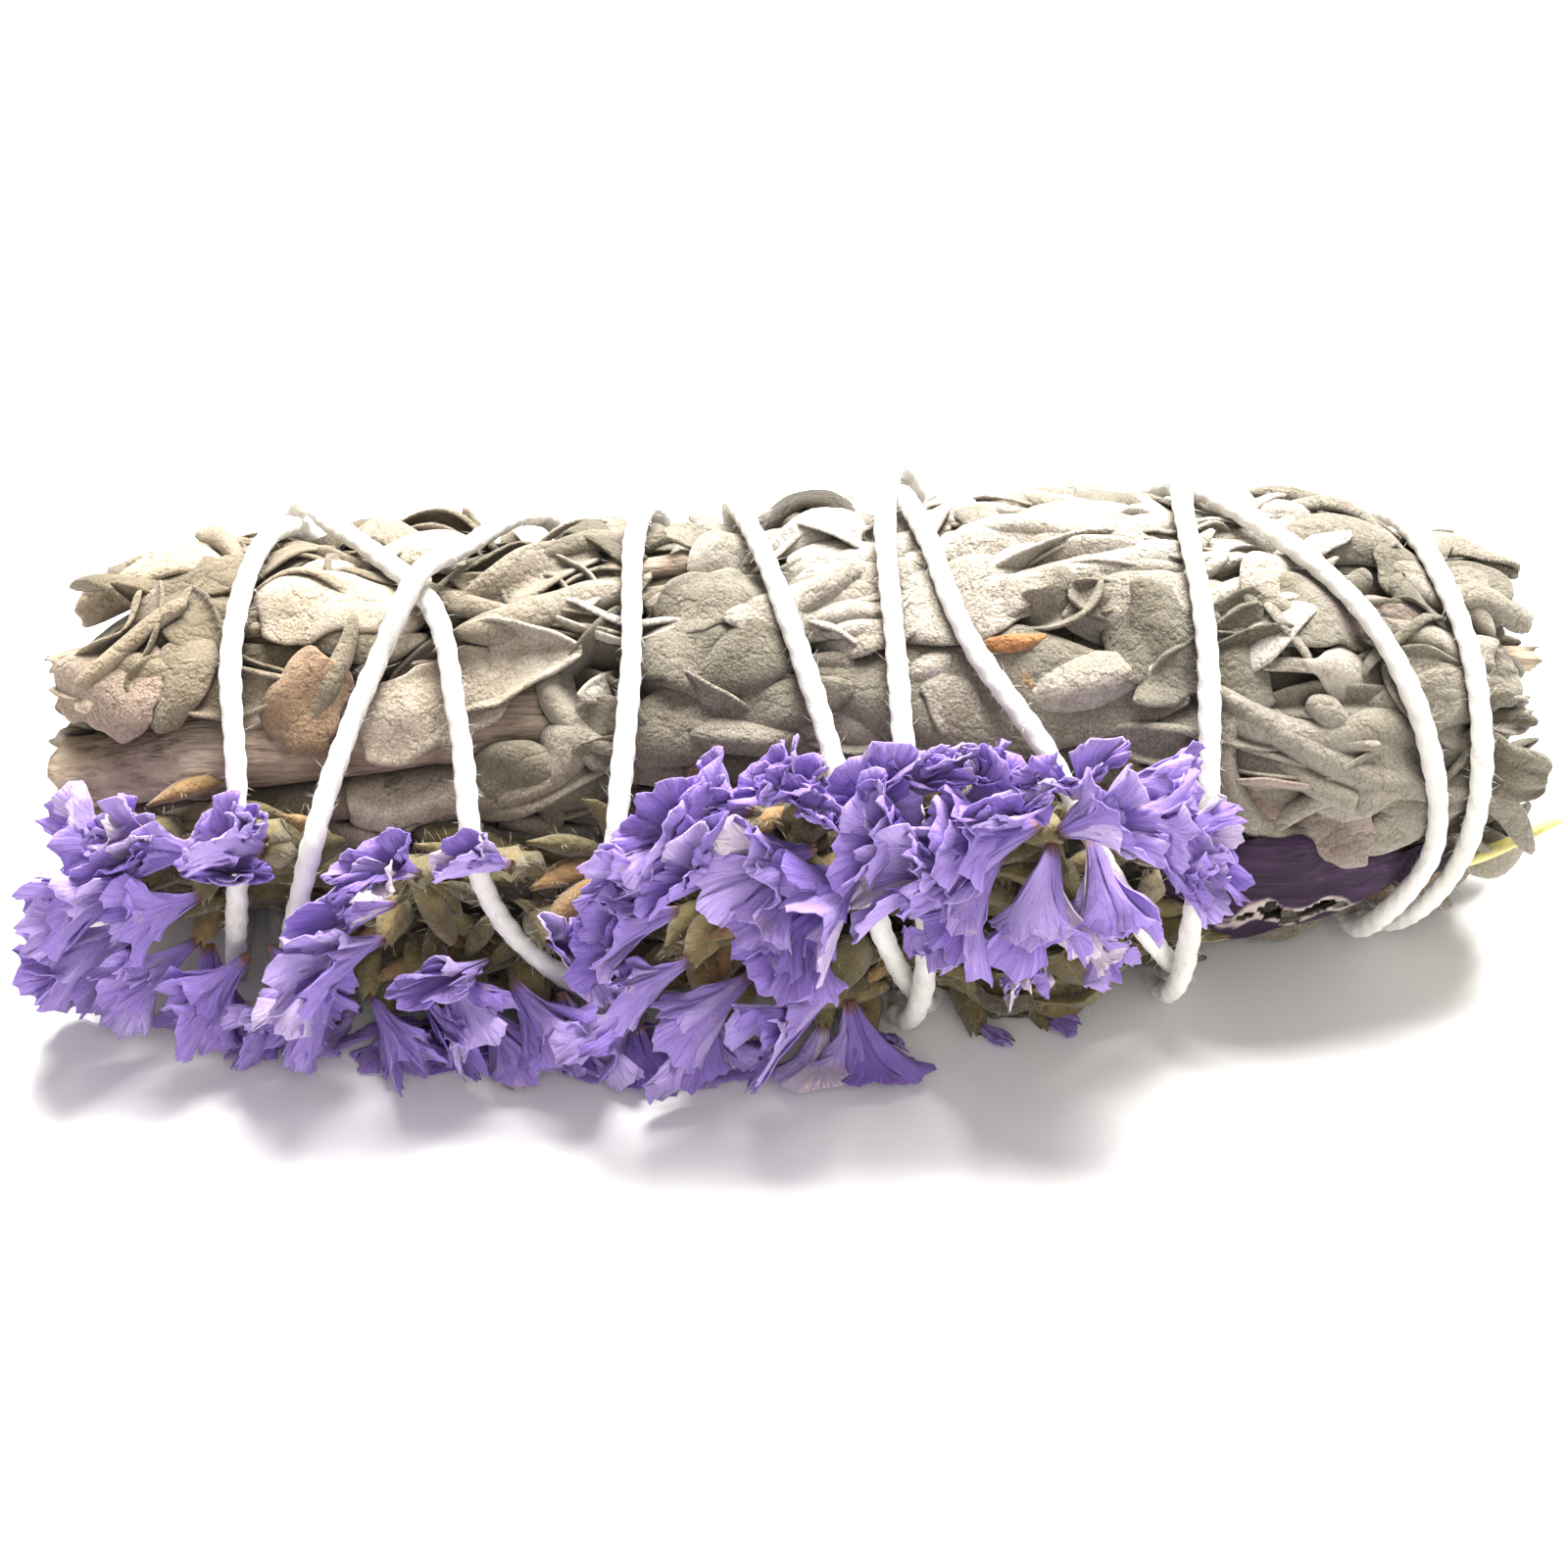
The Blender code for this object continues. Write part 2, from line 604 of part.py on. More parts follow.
def clear_of_string(line, radii, route):
    """Whether a branch keeps its distance from the string's centre line."""
    for start, end, near, far in zip(line, line[1:], radii, radii[1:]):
        for share in (0, 0.25, 0.5, 0.75, 1):
            point = start.lerp(end, share)
            room = STRING_RADIUS + GAP + max(near, far)
            if np.linalg.norm(route - np.array(point), axis=1).min() < room:
                return False
    return True


def placed_funnel(row, rooms):
    """A bloom that touches none of the rooms, lifted or turned outwards where it has to be."""
    x, angle, limb, lean_x, lean_round = row
    for rise in FUNNEL_RISES:
        for ease in FUNNEL_LEANS:
            mesh = scaled(funnel(x, angle, limb, lean_x * ease, lean_round * ease, rise))
            shape = tree(mesh)
            if not any(shape.overlap(room) for room in rooms):
                return mesh
    return None


def statice(route, floor, finishes):
    """The sprays' stems with their calyces, and the blooms that stand in them."""
    near_route = np.array(evenly(route, 0.8))
    rooms = [tree(scaled(tube(evenly(route, STRING_STEP), STRING_RADIUS + GAP, 6)))]
    wanted = []
    for name, rows in SPRAYS.items():
        line = stem_line([(x, angle, -over) for x, angle, over in rows])
        shapes = [scaled(tube(line, taper((SPRAY_STEM_RADIUS, 0.8), len(line)), 6))]
        dense = evenly(line, 1.0)[2:]
        for x, angle, limb, lean_x, lean_round in FLORETS[name]:
            for shift in CALYX_SHIFTS:
                branch, radii = calyx_shape(dense, x + shift, angle, lean_x, lean_round)
                if clear_of_string(branch, radii, near_route):
                    shapes.append(scaled(tube(branch, radii, 4)))
                    wanted.append((x + shift, angle, limb, lean_x, lean_round))
                    break
        spray = fuse(shapes, [floor], SMALLEST_BLOOM)[0]
        rooms.append(tree(spray))
        add("statice_stems_" + name, spray, finishes["calyx"])
    funnels = [mesh for mesh in (placed_funnel(row, rooms) for row in wanted) if mesh]
    for number, mesh in enumerate(fuse(funnels, [floor], SMALLEST_BLOOM), 1):
        add(f"statice_blooms_{number:02d}", mesh, finishes["bloom"])


def sage(route, floor, finishes):
    """The sprigs of folded leaves, each round its own woody stem, with room left for what lies in them."""
    room = 2 * GAP
    cutters = {
        "string": tube(evenly(route, STRING_STEP), STRING_RADIUS + GAP, 6),
        "outer": tube(stem_line(OUTER_STEM), taper([r + room for r in OUTER_STEM_RADII], 8), 8),
        "top": tube(stem_line(TOP_STEM, 4), THIN_STEM_RADIUS + room, 6),
        "stalk": tube(stem_line(SIDE_STALK, 4), THIN_STEM_RADIUS + room, 6),
        "blade": tube(stem_line(DRY_BLADE, 3), BLADE_RADIUS + room, 6),
        "petal": plate(PETAL_ROOM, PETAL_ROOM_MARGIN, PETAL_ROOM_DEPTH),
    }
    cuts = [floor] + [scaled(shape) for shape in cutters.values()]
    for number in range(SPRIGS):
        middle = -90 + 360 / SPRIGS * number
        draw = random.Random(LEAF_SEED + number)
        shapes = [scaled(sprig_core(middle))]
        for k in range(LEAVES_A_SPRIG):
            x = LEAF_ROOTS * (2 * k / (LEAVES_A_SPRIG - 1) - 1) + draw.uniform(-3, 3)
            root_right = k < 1 or (k < LEAVES_A_SPRIG - 1 and draw.random() < 0.5)
            shapes.append(scaled(leaf_blade(draw, middle, x, root_right)))
        depth = draw.uniform(-0.4, 0.4) + STEM_DEPTH
        left = STEM_ENDS[0] + draw.uniform(-1.5, 1.5)
        right = STEM_ENDS[1] + draw.uniform(-2.5, 2.5)
        xs = np.linspace(left, right, 5)
        line = [place(float(x), middle + TWIST * x / 100, depth) for x in xs]
        radii = taper((STEM_RADIUS + 0.2, STEM_RADIUS - 0.3), len(line))
        bore = [line[0] * 2 - line[1]] + line + [line[-1] * 2 - line[-2]]
        bore_radii = [r + GAP + 0.1 for r in [radii[0]] + radii + [radii[-1]]]
        hole = scaled(tube(bore, bore_radii, 6))
        body = fuse(shapes, [hole] + cuts, SMALLEST_BODY)[0]
        add(f"sage_sprig_{number + 1}", body, finishes["leaf"])
        add(f"sage_stem_{number + 1}", scaled(tube(line, radii, 6)), finishes["wood"])
    heart = [place(float(x), 0, 0) for x in np.linspace(-HEART_END, HEART_END, 5)]
    outer = tube(stem_line(OUTER_STEM), taper(OUTER_STEM_RADII, 8), 8)
    add("sage_stem_middle", scaled(tube(heart, HEART_RADIUS, 8)), finishes["wood"])
    add("outer_woody_stem", scaled(outer), finishes["wood"])
    add("top_stem", scaled(tube(stem_line(TOP_STEM, 4), THIN_STEM_RADIUS, 6)), finishes["wood"])
    add("side_stalk", scaled(tube(stem_line(SIDE_STALK, 4), THIN_STEM_RADIUS, 6)), finishes["wood"])
    add("dry_blade", scaled(tube(stem_line(DRY_BLADE, 3), BLADE_RADIUS, 5)), finishes["straw"])
    add("dark_petal", scaled(plate(PETAL_THICK, 0, PETAL_DEPTH)), finishes["petal"])


def cotton_string(route, finishes):
    """The string, whole, with the knot that ties its two ends behind the left end."""
    line = evenly(route, STRING_STEP)
    knot = bmesh.new()
    bmesh.ops.create_icosphere(knot, subdivisions=1, radius=KNOT_RADIUS)
    bmesh.ops.translate(knot, vec=(route[0] + route[-1]) / 2, verts=knot.verts)
    joined = combine(scaled(tube(line, STRING_RADIUS, STRING_SIDES)), [scaled(knot)], "UNION")
    add("cotton_string", bodies(joined, SMALLEST_BODY)[0], finishes["string"])


def build():
    for item in list(bpy.data.objects):
        bpy.data.objects.remove(item)
    finishes = {
        "leaf": material("sage_leaf", (0.33, 0.32, 0.26), 0.9),
        "wood": material("sage_wood", (0.36, 0.28, 0.20), 0.8),
        "string": material("cotton", (0.86, 0.84, 0.80), 0.85),
        "calyx": material("statice_green", (0.12, 0.11, 0.06), 0.85),
        "bloom": material("statice_purple", (0.32, 0.20, 0.55), 0.7),
        "petal": material("dark_violet", (0.07, 0.03, 0.08), 0.5),
        "straw": material("dry_straw", (0.50, 0.47, 0.20), 0.6),
    }
    route = string_route()
    floor = scaled(box((-90, -60, -40), (90, 60, 0)))
    sage(route, floor.copy(), finishes)
    statice(route, floor.copy(), finishes)
    cotton_string(route, finishes)


build()
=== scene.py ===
import math
import random

import bmesh
import bpy
import numpy as np
from mathutils import Euler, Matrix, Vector
from mathutils.kdtree import KDTree


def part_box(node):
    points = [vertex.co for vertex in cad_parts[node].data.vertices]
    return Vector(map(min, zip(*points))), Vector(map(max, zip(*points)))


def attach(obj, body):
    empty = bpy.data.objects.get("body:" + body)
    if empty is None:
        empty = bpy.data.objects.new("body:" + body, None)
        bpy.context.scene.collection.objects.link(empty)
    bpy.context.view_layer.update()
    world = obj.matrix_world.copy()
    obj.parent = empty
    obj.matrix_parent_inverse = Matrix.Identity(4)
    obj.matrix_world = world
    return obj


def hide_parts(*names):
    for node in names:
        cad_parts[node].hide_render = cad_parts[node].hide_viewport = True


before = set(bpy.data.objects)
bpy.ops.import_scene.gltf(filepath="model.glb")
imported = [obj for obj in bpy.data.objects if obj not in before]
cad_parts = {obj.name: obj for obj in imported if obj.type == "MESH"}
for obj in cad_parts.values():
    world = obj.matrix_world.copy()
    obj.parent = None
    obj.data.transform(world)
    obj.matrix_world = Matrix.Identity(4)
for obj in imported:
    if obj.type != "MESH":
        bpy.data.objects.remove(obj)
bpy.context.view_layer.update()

# Camera, light and table. The camera stands in front of the flowers and looks down on the bunch.
# A wide soft light hangs above and behind, so the top is bright and the shadow falls to the front.
VIEW_DOWN = math.radians(40)
VIEW_DISTANCE = 0.300
VIEW_HALF_WIDTH = 0.068
AIM = Vector((-0.00155, 0.0036, 0.0126))
camera_data = bpy.data.cameras.new("view")
camera_data.sensor_width = 36
camera_data.lens = 18 * VIEW_DISTANCE / VIEW_HALF_WIDTH
camera_data.clip_start = 0.01
camera = bpy.data.objects.new("view", camera_data)
camera.location = AIM + Vector((0, -math.cos(VIEW_DOWN), math.sin(VIEW_DOWN))) * VIEW_DISTANCE
camera.rotation_euler = (math.pi / 2 - VIEW_DOWN, 0, 0)
bpy.context.scene.collection.objects.link(camera)
bpy.context.scene.camera = camera
bpy.context.scene.view_settings.view_transform = "Standard"


def soft_light(name, place, size, power, tint):
    data = bpy.data.lights.new(name, "AREA")
    data.shape = "DISK"
    data.size = size
    data.energy = power
    data.color = tint
    light = bpy.data.objects.new(name, data)
    light.location = place
    light.rotation_euler = (AIM - Vector(place)).to_track_quat("-Z", "Y").to_euler()
    bpy.context.scene.collection.objects.link(light)


soft_light("top_light", (0.06, 0.30, 0.60), 0.50, 21.5, (1.0, 0.985, 0.96))
soft_light("front_fill", (0.10, -0.60, 0.45), 0.60, 1.9, (1.0, 0.97, 0.94))
world = bpy.data.worlds.new("room")
world.use_nodes = True
world.node_tree.nodes["Background"].inputs["Color"].default_value = (1.0, 0.95, 0.885, 1)
world.node_tree.nodes["Background"].inputs["Strength"].default_value = 0.37
bpy.context.scene.world = world


def plain_material(name, color, roughness):
    finish = bpy.data.materials.new(name)
    finish.use_nodes = True
    shader = finish.node_tree.nodes["Principled BSDF"]
    shader.inputs["Base Color"].default_value = (*color, 1)
    shader.inputs["Roughness"].default_value = roughness
    return finish, shader


table_top = bmesh.new()
bmesh.ops.create_grid(table_top, x_segments=1, y_segments=1, size=2.5)
table_mesh = bpy.data.meshes.new("table_top")
table_top.to_mesh(table_mesh)
table = bpy.data.objects.new("table_top", table_mesh)
table.data.materials.append(plain_material("table_white", (0.93, 0.93, 0.93), 0.9)[0])
table.location.z = -0.0001
bpy.context.scene.collection.objects.link(table)

# The cotton string: one length of three-ply cotton twine, 2 mm thick, wound in a spiral to the right
# end and back over itself, knotted behind the left end. It rides high over the flowers' stems.
MM = 0.001
SHIFT_X = -0.1
AXIS_Y = 7.5
GIRTH = ((-65, 12.8), (-52, 15.7), (-27, 16.8), (0, 17.6), (29, 18.3), (45, 17.6), (55, 15.3), (65, 12.4))
AXIS_HEIGHT = ((-65, 15.2), (-50, 15.2), (-27, 15.9), (0, 16.7), (29, 17.4), (45, 16.8), (65, 16.2))
STRING_RADIUS = 1.0
STRING_LIFT = 0.3
FLOOR_LIFT = 0.15
BULGE = (
    (-66, 2.6), (-50, 3.4), (-40, 4.6), (-25, 5.8), (12, 5.8),
    (24, 4.8), (30, 3.4), (37, 1.0), (46, 0.0), (66, 0.0),
)
BULGE_ANGLES = (-72.0, -42.0, 14.0, 38.0)
STRING_PASSES = (
    ((150, -43), (95, -46), (60, -47), (20, -46), (-45, -48.5)),
    ((95, -36), (75, -31), (40, -28), (0, -25), (-40, -14.5)),
    ((95, -4), (40, 1.5), (-5, 6.5), (-40, 11)),
    ((95, 10), (55, 14), (25, 21), (-15, 29)),
    ((95, 38), (65, 46.5), (30, 51.5), (0, 52.5), (-30, 49.5)),
    ((95, 52.5), (50, 55.5), (0, 55.5), (-30, 53)),
    ((95, 32), (50, 33), (0, 32.5), (-50, 30.5)),
    ((95, 7), (40, 8), (-30, 9), (-45, 6.5)),
    ((95, -14), (50, -14), (-5, -16), (-40, -18)),
    ((95, -28), (75, -32), (30, -38), (-45, -45), (-205, -43)),
)
STATION_STEP = 4.0
STATIONS = np.arange(-66, 67, STATION_STEP)
ANGLE_STEP = 5.0
HULL_REACH = 1.3
TURN_STEP = 2.5
SAME_TURN = 20
CROSSING_HEIGHT = 8
CROSSING_EASE = 3.4
CROSSING_ROUNDS = 3
UNDERSIDE_HEIGHT = 3.0
UNDERSIDE_HALF = 11
UNDERSIDE_EDGE = 12


def curve_value(rows, t):
    knots = np.array([row[0] for row in rows], float)
    values = np.array([row[1] for row in rows], float)
    slopes = np.gradient(values, knots)
    t = np.clip(t, knots[0], knots[-1])
    i = np.clip(np.searchsorted(knots, t) - 1, 0, len(knots) - 2)
    span = knots[i + 1] - knots[i]
    u = (t - knots[i]) / span
    rise = values[i] * (2 * u**3 - 3 * u**2 + 1) + values[i + 1] * (3 * u**2 - 2 * u**3)
    return rise + span * (slopes[i] * (u**3 - 2 * u**2 + u) + slopes[i + 1] * (u**3 - u**2))


def girth(x):
    return curve_value(GIRTH, x)


def place(x, angle, radius):
    turn = math.radians(angle)
    height = float(curve_value(AXIS_HEIGHT, x)) + radius * math.sin(turn)
    return Vector((x + SHIFT_X, AXIS_Y - radius * math.cos(turn), height))


def string_radii():
    angles = np.arange(0, 360, ANGLE_STEP)
    signed = (angles + 180) % 360 - 180
    low, low_full, high_full, high = BULGE_ANGLES
    window = np.interp(signed, (low, low_full, high_full, high), (0, 1, 1, 0))
    window = window * window * (3 - 2 * window)
    away = np.radians((angles[:, None] - angles[None, :] + 180) % 360 - 180)
    near = np.abs(away) < HULL_REACH
    grid = []
    for x in STATIONS:
        outline = girth(x) + STRING_RADIUS + STRING_LIFT + curve_value(BULGE, x) * window
        reach = (outline[None, :] * np.cos(away)).max(axis=1)
        hull = np.where(near, reach[None, :] / np.cos(np.where(near, away, 0)), 1e3).min(axis=1)
        grid.append(hull)
    return np.array(grid)


STRING_RADII = string_radii()


def string_radius(x, angle):
    column = (x - STATIONS[0]) / STATION_STEP
    row = (angle % 360) / ANGLE_STEP
    rows = len(STRING_RADII[0])
    i = min(max(int(column), 0), len(STATIONS) - 2)
    j = int(row) % rows
    u = min(max(column - i, 0.0), 1.0)
    v = row - int(row)
    k = (j + 1) % rows
    first = STRING_RADII[i][j] * (1 - v) + STRING_RADII[i][k] * v
    second = STRING_RADII[i + 1][j] * (1 - v) + STRING_RADII[i + 1][k] * v
    return float(first * (1 - u) + second * u)


def lift_crossings(points, outward):
    """Lifts the later turn over the earlier one where they cross, or lifts the earlier one underneath."""
    apart = 2 * STRING_RADIUS + STRING_LIFT
    floor = STRING_RADIUS + FLOOR_LIFT
    for repeat in range(CROSSING_ROUNDS):
        along = np.concatenate(([0], np.cumsum(np.linalg.norm(np.diff(points, axis=0), axis=1))))
        lift = np.zeros(len(points))
        push = np.zeros(len(points))
        for i in range(len(points)):
            earlier = np.nonzero(along < along[i] - SAME_TURN)[0]
            if len(earlier) == 0:
                continue
            away = points[i] - points[earlier]
            height = away @ outward[i]
            flat = np.linalg.norm(away - height[:, None] * outward[i], axis=1)
            near = (np.abs(height) < CROSSING_HEIGHT) & (flat < apart)
            need = np.where(near, np.sqrt(np.clip(apart**2 - flat**2, 0, None)) - height, 0)
            j = int(np.argmax(need))
            if need[j] <= 0:
                continue
            if points[i][2] < UNDERSIDE_HEIGHT and abs(points[i][1] - AXIS_Y) < UNDERSIDE_HALF:
                rise = points[i][2] - points[earlier[j]][2] + apart
                push[earlier[j]] = max(push[earlier[j]], rise)
            else:
                lift[i] = max(lift[i], need[j])
        ease = np.exp(-(((along[:, None] - along[None, :]) / CROSSING_EASE) ** 2))
        raised = (ease * lift[None, :]).max(axis=1)
        pushed = (ease * push[None, :]).max(axis=1)
        move = outward * raised[:, None]
        down = np.maximum(move[:, 2], floor - points[:, 2])
        sideways = np.sqrt(np.clip(raised**2 - down**2 - move[:, 0] ** 2, 0, None))
        move[:, 1] = np.where(down > move[:, 2], np.sign(move[:, 1]) * sideways, move[:, 1])
        move[:, 2] = down + pushed
        points = points + move
    return [Vector(point) for point in points]


def string_route():
    rows = [(360 * turn - angle, x) for turn, points in enumerate(STRING_PASSES) for angle, x in points]
    turns = np.arange(rows[0][0], rows[-1][0], TURN_STEP)
    points = []
    outward = []
    for turned, x in zip(turns, curve_value(rows, turns)):
        point = place(float(x), -turned, string_radius(float(x), -turned))
        side = Vector((0, point.y - AXIS_Y, point.z - float(curve_value(AXIS_HEIGHT, x)))).normalized()
        if point.z < UNDERSIDE_HEIGHT and abs(point.y - AXIS_Y) > UNDERSIDE_EDGE:
            side = Vector((0, math.copysign(1, side.y), 0))
        point.z = max(point.z, STRING_RADIUS + FLOOR_LIFT)
        points.append(point)
        outward.append(side)
    return lift_crossings(np.array(points), np.array(outward))


def evenly(points, step):
    line = np.array(points)
    along = np.concatenate(([0], np.cumsum(np.linalg.norm(np.diff(line, axis=0), axis=1))))
    count = max(2, int(round(along[-1] / step)) + 1)
    at = np.linspace(0, along[-1], count)
    return np.array([[np.interp(t, along, line[:, axis]) for axis in range(3)] for t in at])


def frames_along(line):
    """For each point of a line, two directions across it that don't twist."""
    ahead = np.gradient(line, axis=0)
    ahead /= np.linalg.norm(ahead, axis=1)[:, None]
    side = np.cross(ahead[0], (0.3, 0.2, 0.93))
    sides = []
    for direction in ahead:
        side = side - direction * side.dot(direction)
        side /= np.linalg.norm(side)
        sides.append(side)
    sides = np.array(sides)
    return sides, np.cross(ahead, sides)


MERGE = 1e-5


def new_grid(shape, columns, rows):
    """A new grid's vertices, each with its column and row."""
    made = bmesh.ops.create_grid(shape, x_segments=columns, y_segments=rows, size=1, calc_uvs=True)
    return [(vert, int(round((vert.co.x + 1) / 2 * columns)), int(round((vert.co.y + 1) / 2 * rows)))
            for vert in made["verts"]]


def close_ends(shape, verts, sides=0):
    """Fills the open ends of a rolled grid and gives back the vertices that are left of it."""
    left = [vert for vert in verts if vert.is_valid]
    ends = dict.fromkeys(edge for vert in left for edge in vert.link_edges if edge.is_boundary)
    bmesh.ops.holes_fill(shape, edges=list(ends), sides=sides)
    return left


def wrapped_tube(shape, line, radius_at, sides):
    """A grid rolled into a tube along a line; radius_at gives its radius from station and turn."""
    across, over = frames_along(line)
    grid = new_grid(shape, len(line) - 1, sides)
    rim = []
    for vert, i, j in grid:
        turn = 2 * math.pi * j / sides
        radius = radius_at(i, turn)
        vert.co = line[i] + radius * (across[i] * math.cos(turn) + over[i] * math.sin(turn))
        if j in (0, sides):
            rim.append(vert)
    bmesh.ops.remove_doubles(shape, verts=rim, dist=MERGE)
    return close_ends(shape, [row[0] for row in grid])


def hairs(shape, rows):
    """Fine hairs, each a three-sided spike from its foot to its tip, made from one long rolled grid."""
    last = 2 * len(rows) - 1
    made = bmesh.ops.create_grid(shape, x_segments=3, y_segments=last, size=1)
    ends = []
    for foot, tip, width in rows:
        foot = Vector(foot)
        tip = Vector(tip)
        side = (tip - foot).cross(Vector((0.31, 0.17, 0.9))).normalized()
        over = (tip - foot).normalized().cross(side)
        ends.append((foot, tip, side * width, over * width))
    row_of = {}
    seam = []
    for vert in made["verts"]:
        row = int(round((vert.co.y + 1) / 2 * last))
        column = int(round((vert.co.x + 1) / 2 * 3))
        foot, tip, side, over = ends[row // 2]
        turn = 2 * math.pi * column / 3
        out = side * math.cos(turn) + over * math.sin(turn)
        vert.co = tip if row % 2 else foot + out
        row_of[vert] = row
        if row % 2 or column in (0, 3):
            seam.append(vert)
    faces = {face for vert in made["verts"] for face in vert.link_faces}
    between = [face for face in faces if min(row_of[vert] for vert in face.verts) % 2]
    bmesh.ops.delete(shape, geom=between, context="FACES")
    bmesh.ops.remove_doubles(shape, verts=seam, dist=MERGE)
    close_ends(shape, made["verts"], sides=3)


def new_shape():
    shape = bmesh.new()
    shape.loops.layers.uv.new("UVMap")
    return shape


def toned_shape():
    """An empty mesh with a UV map, and its layer for the tone that its material reads."""
    shape = new_shape()
    return shape, shape.verts.layers.float.new("tone")


def give_wall(made, thickness):
    wall = made.modifiers.new("thickness", "SOLIDIFY")
    wall.thickness = thickness * MM
    wall.offset = 0


def piece(name, shape, finish, nodes):
    """A finished mesh as an object of its own, in metres, riding on the bunch."""
    bmesh.ops.recalc_face_normals(shape, faces=shape.faces[:])
    bmesh.ops.scale(shape, vec=(MM, MM, MM), verts=shape.verts)
    mesh = bpy.data.meshes.new(name)
    shape.to_mesh(mesh)
    shape.free()
    mesh.shade_smooth()
    mesh.materials.append(finish)
    made = bpy.data.objects.new(name, mesh)
    bpy.context.scene.collection.objects.link(made)
    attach(made, "root")
    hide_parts(*nodes)
    return made


def noise_node(tree, vector, scale, detail, roughness=0.5):
    made = tree.nodes.new("ShaderNodeTexNoise")
    made.inputs["Scale"].default_value = scale
    made.inputs["Detail"].default_value = detail
    made.inputs["Roughness"].default_value = roughness
    tree.links.new(vector, made.inputs["Vector"])
    return made.outputs["Fac"]


def ramp_node(tree, value, stops):
    made = tree.nodes.new("ShaderNodeValToRGB")
    ramp = made.color_ramp
    while len(ramp.elements) < len(stops):
        ramp.elements.new(0.5)
    for element, (position, color) in zip(ramp.elements, stops):
        element.position = position
        element.color = (*color, 1)
    tree.links.new(value, made.inputs["Fac"])
    return made.outputs["Color"]


def mix_node(tree, blend, factor, first, second):
    made = tree.nodes.new("ShaderNodeMix")
    made.data_type = "RGBA"
    made.blend_type = blend
    for name, value in (("Factor", factor), ("A", first), ("B", second)):
        kind = "VALUE" if name == "Factor" else "RGBA"
        socket = [s for s in made.inputs if s.name == name and s.type == kind][0]
        if isinstance(value, (int, float)):
            socket.default_value = value
        elif isinstance(value, tuple):
            socket.default_value = (*value, 1)
        else:
            tree.links.new(value, socket)
    return [s for s in made.outputs if s.type == "RGBA"][0]


def math_node(tree, operation, first, second):
    made = tree.nodes.new("ShaderNodeMath")
    made.operation = operation
    for socket, value in zip(made.inputs, (first, second)):
        if isinstance(value, (int, float)):
            socket.default_value = value
        else:
            tree.links.new(value, socket)
    return made.outputs[0]


def bump_node(tree, height, distance, strength, before=None):
    made = tree.nodes.new("ShaderNodeBump")
    made.inputs["Strength"].default_value = strength
    made.inputs["Distance"].default_value = distance
    tree.links.new(height, made.inputs["Height"])
    if before is not None:
        tree.links.new(before, made.inputs["Normal"])
    return made.outputs["Normal"]


def object_vector(tree):
    return tree.nodes.new("ShaderNodeTexCoord").outputs["Object"]


def attribute(tree, name):
    made = tree.nodes.new("ShaderNodeAttribute")
    made.attribute_name = name
    return made.outputs["Fac"]


def cotton_material():
    finish, shader = plain_material("cotton", (0.87, 0.86, 0.83), 0.95)
    tree = finish.node_tree
    vector = object_vector(tree)
    soil = noise_node(tree, vector, 260, 3)
    color = ramp_node(tree, soil, ((0.3, (0.64, 0.62, 0.56)), (0.6, (0.77, 0.755, 0.72))))
    tree.links.new(color, shader.inputs["Base Color"])
    fibre = noise_node(tree, vector, 5200, 3, 0.7)
    tree.links.new(bump_node(tree, fibre, 0.0002, 0.55), shader.inputs["Normal"])
    shader.inputs["Sheen Weight"].default_value = 0.25
    shader.inputs["Sheen Roughness"].default_value = 0.5
    return finish


STRING_STEP = 0.48
PLY_TURN = 6.4
KNOT_STEP = 0.42
KNOT_SHIFT = Vector((0, 0.2, -0.3))
KNOT_TAILS = (Vector((3, 2.5, -8)), Vector((7, 2.5, -5)))
FUZZ_HAIRS = 3200
FUZZ_WIDTH = 0.024
FLOOR = 0.05
route = string_route()
string_line = evenly(route, STRING_STEP)


def ply_radius(i, turn):
    twist = turn + 2 * math.pi * i * STRING_STEP / PLY_TURN
    uneven = 1 + 0.045 * math.sin(i * 0.13) + 0.03 * math.sin(i * 0.41 + 1)
    return uneven * (0.71 + 0.22 * abs(math.cos(1.5 * twist)) ** 0.6)


cotton = cotton_material()
shape = new_shape()
wrapped_tube(shape, string_line, ply_radius, 15)
knot_place = (route[0] + route[-1]) / 2 + KNOT_SHIFT
for bend in range(2):
    turns = [Vector((1.1 * math.cos(a), (0.6 - 1.2 * bend) + 0.4 * math.sin(2 * a), 0.9 * math.sin(a)))
             for a in np.linspace(0.3, 5.9, 26)]
    tilt = Euler((0.4, 0.5 + bend, 0.8 * bend)).to_matrix()
    wrapped_tube(shape, evenly([knot_place + tilt @ p for p in turns], KNOT_STEP), ply_radius, 12)
for tail in KNOT_TAILS:
    bend = [knot_place + tail * s + Vector((0, 1.8 * math.sin(3 * s), -1.5 * s * s))
            for s in np.linspace(0, 1, 12)]
    wrapped_tube(shape, evenly(bend, KNOT_STEP), ply_radius, 12)
draw = random.Random(5)
sides, overs = frames_along(string_line)
fuzz = []
while len(fuzz) < FUZZ_HAIRS:
    i = draw.randrange(2, len(string_line) - 2)
    turn = draw.uniform(0, 2 * math.pi)
    out = sides[i] * math.cos(turn) + overs[i] * math.sin(turn)
    ahead = string_line[i + 1] - string_line[i - 1]
    foot = string_line[i] + out * 0.85
    tip = foot + out * draw.uniform(0.3, 1.3) + ahead * draw.uniform(-1.4, 1.4)
    if tip[2] > FLOOR:
        fuzz.append((foot, tip, FUZZ_WIDTH))
hairs(shape, fuzz)
piece("cotton_twine", shape, cotton, ["cotton_string"])

